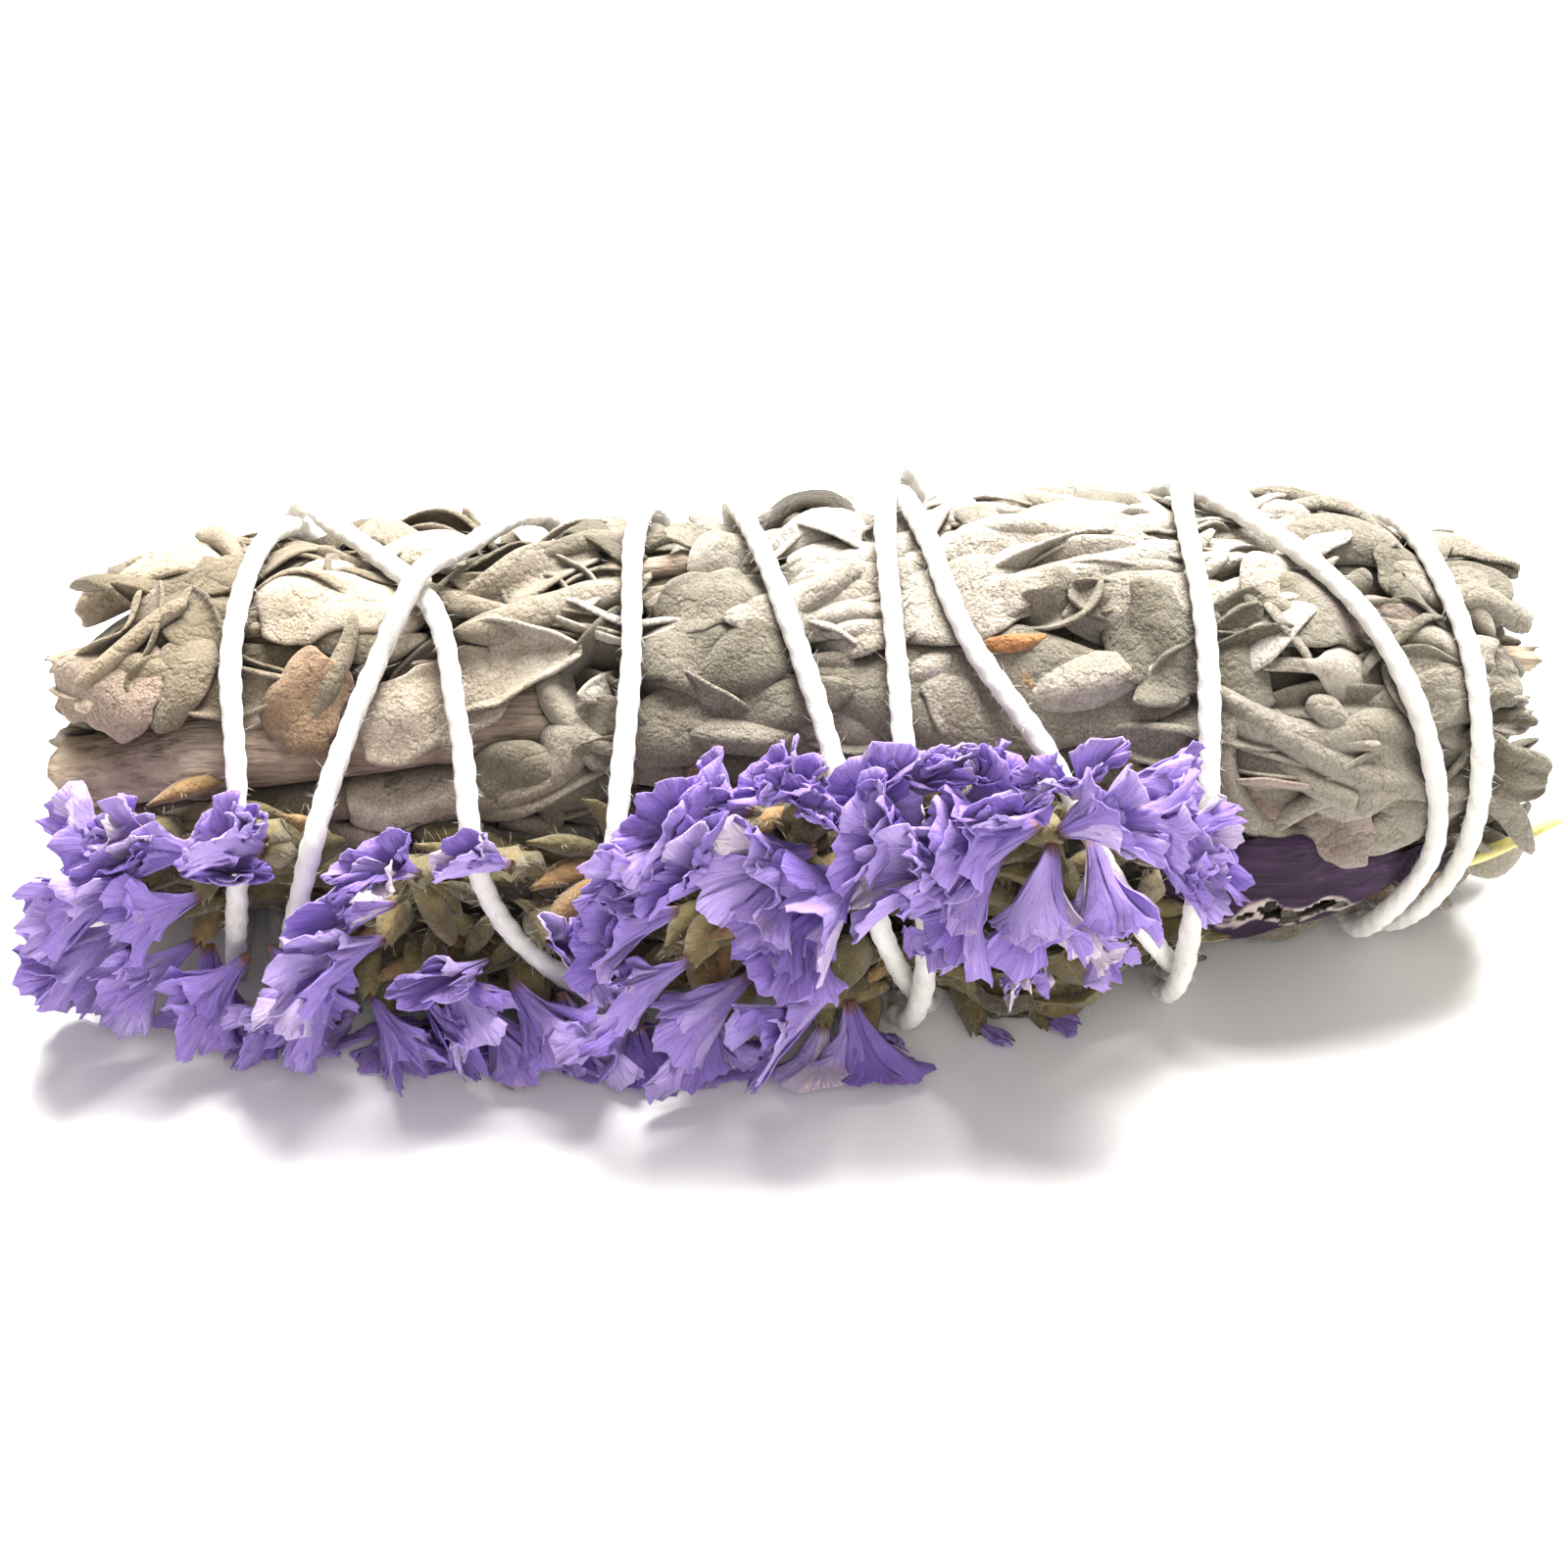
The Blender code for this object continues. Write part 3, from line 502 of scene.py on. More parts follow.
# The sage leaves: eight sprigs of dried leaves, thick and felted, folded, rolled and crumpled.
# Each leaf is a sheet bent along its spine and across it, then laid on the bundle under the string.
SPRIGS = 8
TWIST = 6.0
LEAF_THICK = 0.48
LEAF_PUFF = 2.3
STRING_DENT = 2.5
DENT_WIDTH = 3.0
FAR_FROM_STRING = 14
MAP_HALF = 70
MAP_ANGLE_STEP = 3.0
OUTER_STEM = ((-62, 19, 3.3), (-48, 31, 3.4), (-34, 37, 3.4), (-21, 43, 3.6))
OUTER_STEM_RADII = (3.0, 3.3, 3.2, 2.6)
STEM_DEPTH = 3.4
STEM_ROOM = 3.9
BANK_SLOPE = 2.2


def string_distances():
    """How far each place on the bundle is from the string's centre line, over x and angle."""
    xs = np.arange(-MAP_HALF, MAP_HALF + 1, 1.0)
    angles = np.radians(np.arange(0, 360, MAP_ANGLE_STEP))
    line = evenly(route, 0.8)
    heights = curve_value(AXIS_HEIGHT, line[:, 0] - SHIFT_X)
    line_angles = np.arctan2(line[:, 2] - heights, AXIS_Y - line[:, 1])
    radii = girth(line[:, 0])
    grid = np.full((len(xs), len(angles)), float(FAR_FROM_STRING))
    for i, x in enumerate(xs):
        dx = line[:, 0] - SHIFT_X - x
        near = np.abs(dx) < FAR_FROM_STRING
        if near.any():
            da = (angles[:, None] - line_angles[near][None, :] + math.pi) % (2 * math.pi) - math.pi
            away = np.sqrt(dx[near] ** 2 + (da * radii[near]) ** 2)
            grid[i] = np.minimum(FAR_FROM_STRING, away.min(axis=1))
    return grid


STRING_DISTANCES = string_distances()


def string_distance(x, angle):
    column = np.clip(x + MAP_HALF, 0, 2 * MAP_HALF - 0.001)
    row = (angle % 360) / MAP_ANGLE_STEP
    rows = STRING_DISTANCES.shape[1]
    i = column.astype(int)
    j = row.astype(int) % rows
    u = column - i
    v = row - np.floor(row)
    k = (j + 1) % rows
    first = STRING_DISTANCES[i, j] * (1 - v) + STRING_DISTANCES[i, k] * v
    second = STRING_DISTANCES[i + 1, j] * (1 - v) + STRING_DISTANCES[i + 1, k] * v
    return first * (1 - u) + second * u


def over_stem_ceiling(x, angle):
    """How far out a leaf may stand: puffed up between turns of string and held in under them."""
    return girth(x) + LEAF_PUFF - STRING_DENT * np.exp(-((string_distance(x, angle) / DENT_WIDTH) ** 2))


def held_in(x, angle, xs, angles):
    """How much a leaf lies under something that covers these stretches of x and angle, from 0 to 1."""
    return np.interp(angle, angles, (0, 1, 1, 0)) * np.interp(x, xs, (0, 1, 1, 0))


def leaf_ceiling(x, angle):
    """The same for a leaf that lies under the flowers, the dark petal and the outer stem."""
    signed = (angle + 180) % 360 - 180
    under_flowers = held_in(x, signed, (-58, -54, 27, 31), (-55, -46, 4, 14))
    under_petal = held_in(x, signed, (25, 28, 56, 61), (-50, -42, 2, 10))
    ceiling = over_stem_ceiling(x, angle) - 2.2 * under_flowers - 2.6 * under_petal
    stem_angle = curve_value([row[:2] for row in OUTER_STEM], x)
    beside = np.radians(signed - stem_angle) * girth(x)
    along = np.interp(x, (-66, -64, -24, -19), (1, 1, 1, 0))
    bank = BANK_SLOPE * np.clip(np.abs(beside) - STEM_ROOM, 0, None)
    under_stem = girth(x) - STEM_DEPTH - np.sqrt(np.clip(STEM_ROOM**2 - beside**2, 0, None)) + bank
    return np.where(along > 0.5, np.minimum(ceiling, under_stem), ceiling)


def sheet_slope(leaf, s, t):
    """The way that a sheet faces across its width, in radians, at s along it and t across it."""
    kind = leaf["kind"]
    fold = leaf["fold"]
    phase = leaf["phase"]
    if kind == "rolled":
        curl = np.clip((np.abs(t) - 0.25) / 0.75, 0, 1) ** 1.2
        return np.sign(t) * curl * fold * 2.9 * (0.8 + 0.2 * np.sin(3 * s + phase)) + 0.2 * t
    if kind == "folded":
        painted_crease_shade = np.tanh(t / 0.2) * fold * 1.15 * (0.85 + 0.15 * np.sin(4 * s + phase))
        return painted_crease_shade + 0.15 * np.sin(5 * t + phase)
    if kind == "tube":
        return 2.9 * fold * t + 0.3 * np.sin(3 * s + phase)
    if kind == "pleated":
        return 1.15 * fold * np.sin(7.5 * t + phase + 1.6 * s) * (0.6 + 0.4 * np.sin(2.2 * s + phase))
    return fold * (0.3 * t + 0.65 * t**5) + 0.3 * np.sin(3 * t + 4 * s + phase)


def sheet_outline(leaf, s):
    """The share of its full width that a leaf has at s along it."""
    if leaf["edge"] == "square":
        return 0.9 + 0.1 * np.sin(9 * s)
    if leaf["edge"] == "torn":
        return 0.4 + 0.6 * np.clip(np.minimum((s + 0.02) / 0.2, (1.02 - s) / 0.16), 0, 1) ** 0.6
    if leaf["edge"] == "round":
        tongue = np.sqrt(np.clip(1 - ((s - 0.72) / 0.29) ** 2, 0.03, 1))
        return np.clip(np.minimum(0.35 + s, tongue), 0.1, 1)
    return np.clip(np.sin(math.pi * np.clip(s, 0, 1) ** 0.8), 0.02, 1) ** 0.62


def laid_sheet(shape, tone_layer, leaf, cells, ceiling):
    """One leaf laid on the bundle at leaf["x"] and leaf["angle"], made from a grid moved into place."""
    cells_x, cells_y = cells
    s = np.linspace(0, 1, cells_x + 1)[:, None]
    t = np.linspace(-1, 1, cells_y + 1)[None, :]
    phase = leaf["phase"]
    step = leaf["length"] / cells_x
    heading = leaf["heading"] + leaf["bend"] * (s - 0.5)
    climb = leaf["rise"] * (1 - s) ** 2 - leaf["dive"] * s**2
    turn_back = np.clip((s - 0.42) / 0.15, 0, 1)
    climb = climb + leaf["loop"] * turn_back**2 * (3 - 2 * turn_back)
    along = np.cumsum(np.cos(climb) * np.cos(heading), axis=0) * step
    side = np.cumsum(np.cos(climb) * np.sin(heading), axis=0) * step
    high = np.cumsum(np.sin(climb), axis=0) * step
    outline = sheet_outline(leaf, s)
    half = leaf["width"] / 2 * outline
    ragged = 0.07 * np.sin(9 * s + phase) + 0.05 * np.sin(23 * s + 2 * phase)
    ragged = ragged + 0.04 * np.sin(41 * s + 5 * phase)
    half = half * (1 + ragged)
    slope = sheet_slope(leaf, s, t)
    run = np.cumsum(np.cos(slope), axis=1) * 2 / cells_y * half
    lift = np.cumsum(np.sin(slope), axis=1) * 2 / cells_y * half
    middle = cells_y // 2
    run = run - run[:, middle:middle + 1]
    lift = lift - lift[:, middle:middle + 1]
    waves = random.Random(int(leaf["phase"] * 1000))
    wrinkle = np.zeros(run.shape)
    for length in (13, 8, 5.5, 4, 3):
        way = waves.uniform(0, math.pi)
        start = waves.uniform(0, 2 * math.pi)
        at = (s * leaf["length"] * math.cos(way) + t * half * math.sin(way)) * 2 * math.pi / length + start
        wrinkle = wrinkle + 0.022 * length**1.05 * np.sin(at)
        wrinkle = wrinkle + 0.026 * length * (0.64 - np.abs(np.sin(at * 0.7 + 2)))
    lift = lift + wrinkle * leaf["crumple"]
    roll = leaf["roll"] + leaf["twist"] * (s - 0.5)
    across = run * np.cos(roll) - lift * np.sin(roll)
    outward = run * np.sin(roll) + lift * np.cos(roll)
    torn_ends = (np.clip(s - 0.75, 0, 1) - np.clip(0.25 - s, 0, 1)) * 4
    teeth = np.sin(5 * t + phase) + 0.6 * np.sin(13 * t + 3 * phase)
    torn_ends = torn_ends * outline * leaf["tear"] * teeth
    along = along - along.mean() + torn_ends * np.cos(heading)
    side = side - side.mean() + torn_ends * np.sin(heading)
    x = leaf["x"] + along - across * np.sin(heading) - outward * np.sin(climb) * np.cos(heading)
    arc = side + across * np.cos(heading) - outward * np.sin(climb) * np.sin(heading)
    height = high + outward * np.cos(climb)
    angle = leaf["angle"] + np.degrees(arc / girth(leaf["x"]))
    limit = ceiling(x, angle)
    top = girth(x) + leaf["stand"]
    top = limit - leaf["under"] - np.logaddexp(0, (limit - leaf["under"] - top) / 0.3) * 0.3
    out = np.minimum(top + height - np.percentile(height, 85), limit + 0.15)
    out = np.maximum(out, leaf["floor"])
    heights = curve_value(AXIS_HEIGHT, x)
    turned = np.radians(angle)
    ys = AXIS_Y - out * np.cos(turned)
    zs = np.maximum(heights + out * np.sin(turned), 0.3 + 0.2 * leaf["under"])
    grid = new_grid(shape, cells_x, cells_y)
    for vert, i, j in grid:
        vert.co = (x[i, j] + SHIFT_X, ys[i, j], zs[i, j])
        vert[tone_layer] = leaf["tone"]
    return [row[0] for row in grid]


LEAF_KINDS = ("broad", "broad", "rolled", "rolled", "rolled", "folded", "folded", "tube", "tube", "loop")


def any_leaf(draw, x, angle, stand, sizes):
    """A leaf drawn at random for this place, with sizes as its spans of length and width."""
    kind = draw.choice(LEAF_KINDS)
    tone = draw.triangular(0.05, 0.8, 0.42) if draw.random() < 0.93 else draw.uniform(0.82, 0.96)
    loop = draw.uniform(2.4, 3.0) if kind == "loop" else 0
    longer = 1.4 if kind == "loop" else 1
    wider = 1.35 if kind in ("tube", "rolled") else 1
    return {
        "x": x,
        "angle": angle,
        "kind": kind,
        "edge": draw.choice(("leaf", "leaf", "torn")),
        "length": draw.uniform(*sizes[0]) * longer,
        "width": draw.uniform(*sizes[1]) * wider,
        "heading": math.radians(draw.gauss(0, 30)),
        "bend": draw.gauss(0, 0.35) * (3 if kind == "tube" else 1),
        "rise": draw.uniform(0.0, 0.7),
        "dive": draw.uniform(-0.2, 0.8),
        "loop": loop,
        "fold": draw.uniform(0.75, 1.15) * draw.choice((1, -1, -1)),
        "roll": draw.gauss(0, 0.3),
        "twist": draw.gauss(0, 0.5),
        "crumple": draw.uniform(0.4, 1.2),
        "tear": draw.uniform(0.1, 0.45),
        "stand": stand + draw.uniform(-1.3, 1.4),
        "under": draw.uniform(0.0, 1.0),
        "floor": 1.5,
        "phase": draw.uniform(0, 6.28),
        "tone": tone,
    }


# The stop at 0.78 is the palest grey: it serves the pale leaves and the painted highlight at the top right.
LEAF_TONES = (
    (0.0, (0.050, 0.040, 0.026)), (0.15, (0.130, 0.116, 0.084)), (0.35, (0.215, 0.196, 0.154)),
    (0.55, (0.315, 0.284, 0.238)), (0.78, (0.600, 0.560, 0.510)), (0.85, (0.25, 0.205, 0.190)),
    (0.93, (0.31, 0.215, 0.13)), (1.0, (0.42, 0.18, 0.055)),
)


def sage_material():
    finish, shader = plain_material("sage_felt", (0.4, 0.37, 0.29), 0.92)
    tree = finish.node_tree
    vector = object_vector(tree)
    tone = attribute(tree, "tone")
    leaf = ramp_node(tree, tone, LEAF_TONES)
    patch = noise_node(tree, vector, 130, 5, 0.65)
    stains = ((0.30, (0.68, 0.64, 0.55)), (0.50, (1, 1, 1)), (0.72, (1.18, 1.17, 1.16)))
    stain = ramp_node(tree, patch, stains)
    color = mix_node(tree, "MULTIPLY", 0.9, leaf, stain)
    sides = tree.nodes.new("ShaderNodeSeparateXYZ")
    tree.links.new(vector, sides.inputs["Vector"])
    along = math_node(tree, "ADD", math_node(tree, "MULTIPLY", sides.outputs["X"], 7.7), 0.5)
    warm = ramp_node(tree, along, ((0.05, (1.12, 1.0, 0.84)), (0.45, (1.0, 1.0, 1.0))))
    color = mix_node(tree, "MULTIPLY", 1.0, color, warm)
    fine = noise_node(tree, vector, 4600, 3, 0.7)
    grain = ramp_node(tree, fine, ((0.36, (0.70, 0.69, 0.67)), (0.62, (1.16, 1.16, 1.16))))
    color = mix_node(tree, "MULTIPLY", 0.9, color, grain)
    cells = tree.nodes.new("ShaderNodeTexVoronoi")
    cells.feature = "SMOOTH_F1"
    cells.inputs["Scale"].default_value = 3900
    cells.inputs["Smoothness"].default_value = 0.4
    cells.inputs["Randomness"].default_value = 1.0
    tree.links.new(vector, cells.inputs["Vector"])
    pebble = cells.outputs["Distance"]
    # Painted shade in the pits between the felt's knobs, with a faint painted highlight on the knob tops, in
    # patches.
    painted_pit_shade = ramp_node(tree, pebble, ((0.15, (1.08, 1.07, 1.06)), (0.60, (0.52, 0.48, 0.41))))
    wide = noise_node(tree, vector, 70, 2)
    coarse = ramp_node(tree, wide, ((0.42, (0.1, 0.1, 0.1)), (0.60, (1, 1, 1))))
    color = mix_node(tree, "MULTIPLY", math_node(tree, "MULTIPLY", coarse, 0.6), color, painted_pit_shade)
    # Painted shade: thin dark lines where the noise crosses its middle value, along the creases that the
    # fold bump below makes in the felt.
    middling = math_node(tree, "SUBTRACT", noise_node(tree, vector, 330, 3, 0.55), 0.5)
    swirl = math_node(tree, "ABSOLUTE", middling, 0)
    painted_crease_shade = ramp_node(tree, swirl, ((0.0, (0.42, 0.38, 0.32)), (0.022, (1, 1, 1))))
    color = mix_node(tree, "MULTIPLY", 0.36, color, painted_crease_shade)
    # Painted shade: an occlusion lookup darkens the leaves' colour in the hollows and gaps between them.
    gap_occlusion = tree.nodes.new("ShaderNodeAmbientOcclusion")
    gap_occlusion.samples = 6
    gap_occlusion.inputs["Distance"].default_value = 0.0034
    painted_gap_shade = ramp_node(tree, gap_occlusion.outputs["AO"], ((0.12, (0.24, 0.205, 0.17)), (0.56, (1, 1, 1))))
    color = mix_node(tree, "MULTIPLY", 1.0, color, painted_gap_shade)
    tree.links.new(color, shader.inputs["Base Color"])
    pebbles = math_node(tree, "MULTIPLY", math_node(tree, "SUBTRACT", 1.0, pebble), coarse)
    folds = ramp_node(tree, swirl, ((0.0, (0, 0, 0)), (0.06, (1, 1, 1))))
    creased = bump_node(tree, folds, 0.0004, 0.38)
    broad = bump_node(tree, noise_node(tree, vector, 420, 5, 0.62), 0.0010, 0.42, creased)
    knobs = bump_node(tree, pebbles, 0.00018, 0.5, broad)
    felt = bump_node(tree, noise_node(tree, vector, 5200, 3, 0.7), 0.00018, 0.6, knobs)
    tree.links.new(felt, shader.inputs["Normal"])
    shader.inputs["Sheen Weight"].default_value = 0.2
    shader.inputs["Sheen Roughness"].default_value = 0.6
    shader.inputs["Specular IOR Level"].default_value = 0.2
    return finish


# Leaves that can be picked out one by one: x, angle, length, width, heading and bend in degrees, kind,
# edge, tone and stand.
NAMED_LEAVES = (
    (15.3, 46, 33, 11.5, -5, 8, "broad", "leaf", 0.36, 0.9),
    (32.6, 56, 11.5, 10.5, 2, 0, "broad", "square", 0.30, 1.9),
    (42.6, 51, 10.5, 6.2, -3, 0, "broad", "round", 0.58, 1.3),
    (48.5, 46, 16, 9.5, 18, 10, "broad", "leaf", 0.40, 0.6),
    (44.2, 29, 25, 7.0, -24, 22, "folded", "leaf", 0.45, 1.5),
    (37.6, 21, 17, 7.0, -60, 150, "tube", "leaf", 0.40, 1.2),
    (35.0, 23, 13, 6.0, -70, 140, "tube", "leaf", 0.33, 0.5),
    (43.4, 9, 7.5, 7.0, 0, 0, "broad", "square", 0.86, 1.4),
    (-20.5, 74, 17, 9.0, 16, 10, "tube", "leaf", 0.55, 1.5),
    (-38.2, 81, 15, 9.5, 5, -10, "broad", "torn", 0.70, 1.2),
    (-53.1, 104, 10, 5.5, 8, 10, "rolled", "torn", 0.62, 1.2),
    (-57.6, 55, 10, 8.5, -15, 0, "broad", "torn", 0.84, 1.4),
    (-51.2, 57, 11, 5.5, 70, 20, "broad", "leaf", 0.30, 1.5),
    (-41.0, 47, 8, 7.0, 60, 0, "broad", "torn", 0.91, 1.6),
    (-26.2, 57, 17, 10, 8, -25, "rolled", "leaf", 0.66, 1.2),
    (-18.3, 44, 13, 5.5, -60, 110, "folded", "leaf", 0.48, 1.0),
    (-10.3, 59, 8, 7.5, -20, 0, "broad", "square", 0.32, 1.4),
    (-4.5, 58, 10, 7.5, 40, 20, "rolled", "torn", 0.26, 1.3),
    (-7.1, 72, 10, 5.5, 12, 0, "broad", "torn", 0.35, 1.3),
    (1.0, 112, 11, 5.0, 3, 0, "rolled", "torn", 0.0, 3.3),
    (19.0, 93, 22, 6.5, 12, -10, "folded", "leaf", 0.76, 1.4),
    (24.5, 81, 21, 7.0, 17, 12, "folded", "leaf", 0.74, 1.3),
    (29.1, 71, 14, 8.0, 8, -10, "rolled", "torn", 0.60, 1.1),
    (14.5, 72, 19, 8.5, 13, 5, "broad", "leaf", 0.66, 1.3),
    (17.0, 57, 6.5, 2.6, 4, 25, "tube", "leaf", 0.99, 1.5),
    (-2.2, 43, 13, 7.5, 14, -25, "rolled", "leaf", 0.34, 1.2),
    (50.3, 67, 15, 6.5, -20, 15, "folded", "torn", 0.56, 1.0),
    (53.4, 47, 14, 7.0, 10, -10, "rolled", "leaf", 0.42, 0.8),
    (55.9, 81, 12, 5.5, -5, 0, "tube", "torn", 0.50, 1.2),
    (42.9, 69, 12, 7.5, 5, 10, "broad", "torn", 0.38, 1.2),
    (38.5, 37, 18, 6.5, -12, 10, "folded", "leaf", 0.52, 1.2),
    (-14.3, 33, 11, 6.5, -35, 10, "broad", "leaf", 0.24, 0.9),
    (-9.5, 39, 12, 7.0, 15, 0, "broad", "torn", 0.30, 1.0),
    (-20.8, 24, 14, 7.0, -10, 0, "broad", "leaf", 0.27, 0.8),
    (-28.3, 78, 12, 5.5, -25, 40, "tube", "leaf", 0.50, 1.2),
    (2.6, 79, 13, 5.0, 35, 50, "tube", "leaf", 0.58, 1.5),
    (6.6, 71, 13, 9.0, 15, 0, "broad", "torn", 0.64, 1.2),
    (5.1, 90, 17, 6.5, 28, 10, "folded", "leaf", 0.68, 1.3),
    (27.3, 58, 8, 8.0, 75, 0, "folded", "torn", 0.28, 1.3),
    (24.0, 47, 17, 6.0, 14, -12, "folded", "leaf", 0.60, 1.6),
    (-47.5, 53, 13, 7.0, -8, 20, "rolled", "leaf", 0.45, 1.3),
    (-38.6, 55, 10, 4.5, 65, 30, "tube", "leaf", 0.38, 1.6),
    (50.5, 12, 14, 7.0, 22, 10, "rolled", "leaf", 0.40, 0.8),
    (54.5, 16, 10, 7.0, 60, 0, "rolled", "torn", 0.22, 0.5),
    (57.5, 88, 10, 5.0, -8, 0, "rolled", "torn", 0.52, 1.3),
    (57.7, 51, 9, 5.5, 15, 20, "pleated", "torn", 0.36, 1.2),
    (57.8, 24, 9, 6.0, -15, 10, "pleated", "torn", 0.30, 1.0),
    (-30.5, 46, 13, 7.5, 25, 20, "broad", "torn", 0.62, 1.3),
)
LAYERS = (
    (-3.8, 14, 22, ((20, 32), (9, 14)), (8, 4)),
    (-1.7, 17, 14, ((13, 24), (6, 11)), (9, 6)),
    (0.4, 23, 10.0, ((8, 20), (4.0, 8.2)), (10, 7)),
)
SCRAPS = 230
SCRAP_TONE = 0.5
# The leaves at the top right of the bundle are paler, and painted lighter still: a painted highlight where
# the top catches the light from above.
PAINTED_LIGHT_LEAVES = 56
PAINTED_LIGHT_X = 16
PAINTED_LIGHT_ANGLE = 80
PAINTED_LIGHT_TONE = 0.76
END_LEAVES = 84
END_TURN = 0.381
END_X = 62.5
sage_felt = sage_material()
draw = random.Random(17)
leaves = []
for stand, columns, spacing, sizes, cells in LAYERS:
    for column in range(columns):
        start = draw.uniform(0, spacing) - 60
        while start < 60:
            angle = 360 * (column + draw.uniform(-0.4, 0.4)) / columns
            leaf = any_leaf(draw, start + draw.uniform(-3, 3), angle, stand, sizes)
            leaf["under"] += 0.35 * (0.5 - stand)
            # Painted highlight: leaves near the top right are drawn towards the pale tone, and packed more
            # evenly there.
            off_x = (leaf["x"] - PAINTED_LIGHT_X) / 24
            off_angle = (angle - PAINTED_LIGHT_ANGLE) / 28
            painted_top_light_weight = math.exp(-(off_x**2) - off_angle**2)
            if leaf["tone"] < 0.8:
                leaf["tone"] += (PAINTED_LIGHT_TONE - leaf["tone"]) * 0.9 * painted_top_light_weight
                leaf["stand"] += (stand + 0.3 - leaf["stand"]) * 0.7 * painted_top_light_weight
                # Painted shade: leaves of the deeper layers are darkened by their depth under the upper
                # ones.
                leaf["tone"] *= 1 + 0.16 * (stand - 0.5)
            leaves.append((leaf, cells, leaf_ceiling))
            start += spacing
for k in range(SCRAPS):
    leaf = any_leaf(draw, draw.uniform(-59, 59), draw.uniform(0, 360), 1.0, ((6, 14), (3.0, 5.4)))
    leaf.update(kind=draw.choice(("rolled", "folded", "tube", "loop")), edge="torn",
                heading=draw.uniform(-1.2, 1.2))
    leaf["bend"] *= 1.5
    leaf["tear"] = 0.1
    leaf["tone"] = min(leaf["tone"], SCRAP_TONE)
    leaves.append((leaf, (7, 5), leaf_ceiling))
# More pale leaves at the top right: paler leaves with a painted highlight.
for k in range(PAINTED_LIGHT_LEAVES):
    leaf = any_leaf(draw, draw.uniform(0, 42), draw.uniform(64, 112), 0.8, ((9, 18), (3.2, 6.5)))
    leaf.update(kind=draw.choice(("rolled", "folded", "tube", "broad")), heading=draw.gauss(0.2, 0.22),
                loop=0, tone=draw.uniform(0.62, 0.79))
    leaves.append((leaf, (8, 5), leaf_ceiling))
for row in NAMED_LEAVES:
    leaf = any_leaf(draw, row[0], row[1], 0.5, ((9, 10), (9, 10)))
    leaf.update(length=row[2], width=row[3], heading=math.radians(row[4]), bend=math.radians(row[5]),
                kind=row[6], edge=row[7], tone=row[8], stand=row[9], loop=0, roll=0.1 * leaf["roll"],
                twist=0.3 * leaf["twist"], crumple=0.3 + 0.3 * leaf["crumple"], under=-0.2)
    if row[6] in ("folded", "tube"):
        leaf["fold"] = -abs(leaf["fold"])
    leaves.append((leaf, (14, 8), over_stem_ceiling))
for k in range(END_LEAVES):
    end = (1, -1)[k % 2]
    leaf = any_leaf(draw, end * draw.uniform(50, 54), 360 * k * END_TURN, 0, ((14, 19), (5, 9)))
    leaf.update(stand=draw.uniform(-12, -3.5), heading=draw.gauss(0, 0.2), loop=0)
    leaves.append((leaf, (9, 6), leaf_ceiling))
for leaf, cells, ceiling in leaves:
    reach = leaf["length"] / 2 * math.cos(leaf["heading"])
    limit = END_X + draw.uniform(-3.5, 1.5)
    leaf["x"] = max(-limit + reach, min(limit - reach, leaf["x"]))

for number in range(SPRIGS):
    shape, tone_layer = toned_shape()
    middle = -90 + 360 / SPRIGS * number
    for leaf, cells, ceiling in leaves:
        away = (leaf["angle"] - TWIST * leaf["x"] / 100 - middle + 180) % 360 - 180
        if abs(away) <= 180 / SPRIGS:
            laid_sheet(shape, tone_layer, leaf, cells, ceiling)
    made = piece(f"sage_leaves_{number + 1}", shape, sage_felt, [f"sage_sprig_{number + 1}"])
    give_wall(made, LEAF_THICK)
    soft = made.modifiers.new("soft_edges", "SUBSURF")
    soft.levels = 1
    soft.render_levels = 1

# The woody stems: a thick one in the surface at the left, two thin ones on top, one inside each sprig.
# Dry grey-brown bark with lengthwise ridges and node rings, pale where the end is torn or cut.
TOP_STEM = ((-17, 90, 1.3), (-10, 94, 1.2), (-3, 97, 1.6))
SIDE_STALK = ((-63, 68, 1.4), (-54, 73, 1.3), (-45, 76, 1.8))
STEM_STEP = 0.8
STEM_SIDES = 20
RING_RISE = 0.35
RING_WIDTH = 1.1
INNER_STEM_RADIUS = 6.8
BARK_TONES = (
    (0.3, (0.17, 0.120, 0.088)), (0.48, (0.30, 0.235, 0.185)), (0.62, (0.38, 0.31, 0.25)),
    (0.75, (0.29, 0.195, 0.160)),
)
BARK_LINES = ((0.34, (0.45, 0.40, 0.36)), (0.46, (0.92, 0.90, 0.88)), (0.66, (1.2, 1.18, 1.15)))


def stem_line(rows, step=STEM_STEP):
    """Points along a stem from its rows of x, angle and depth under the leaves' outline."""
    angles = [(row[0], row[1]) for row in rows]
    depths = [(row[0], row[2]) for row in rows]
    if angles[0][0] > angles[-1][0]:
        angles, depths = angles[::-1], depths[::-1]
    count = max(3, int(abs(rows[-1][0] - rows[0][0]) / step) + 1)
    line = []
    for x in np.linspace(rows[0][0], rows[-1][0], count):
        radius = float(girth(x) - curve_value(depths, x))
        line.append(place(float(x), float(curve_value(angles, x)), radius))
    return np.array(line)


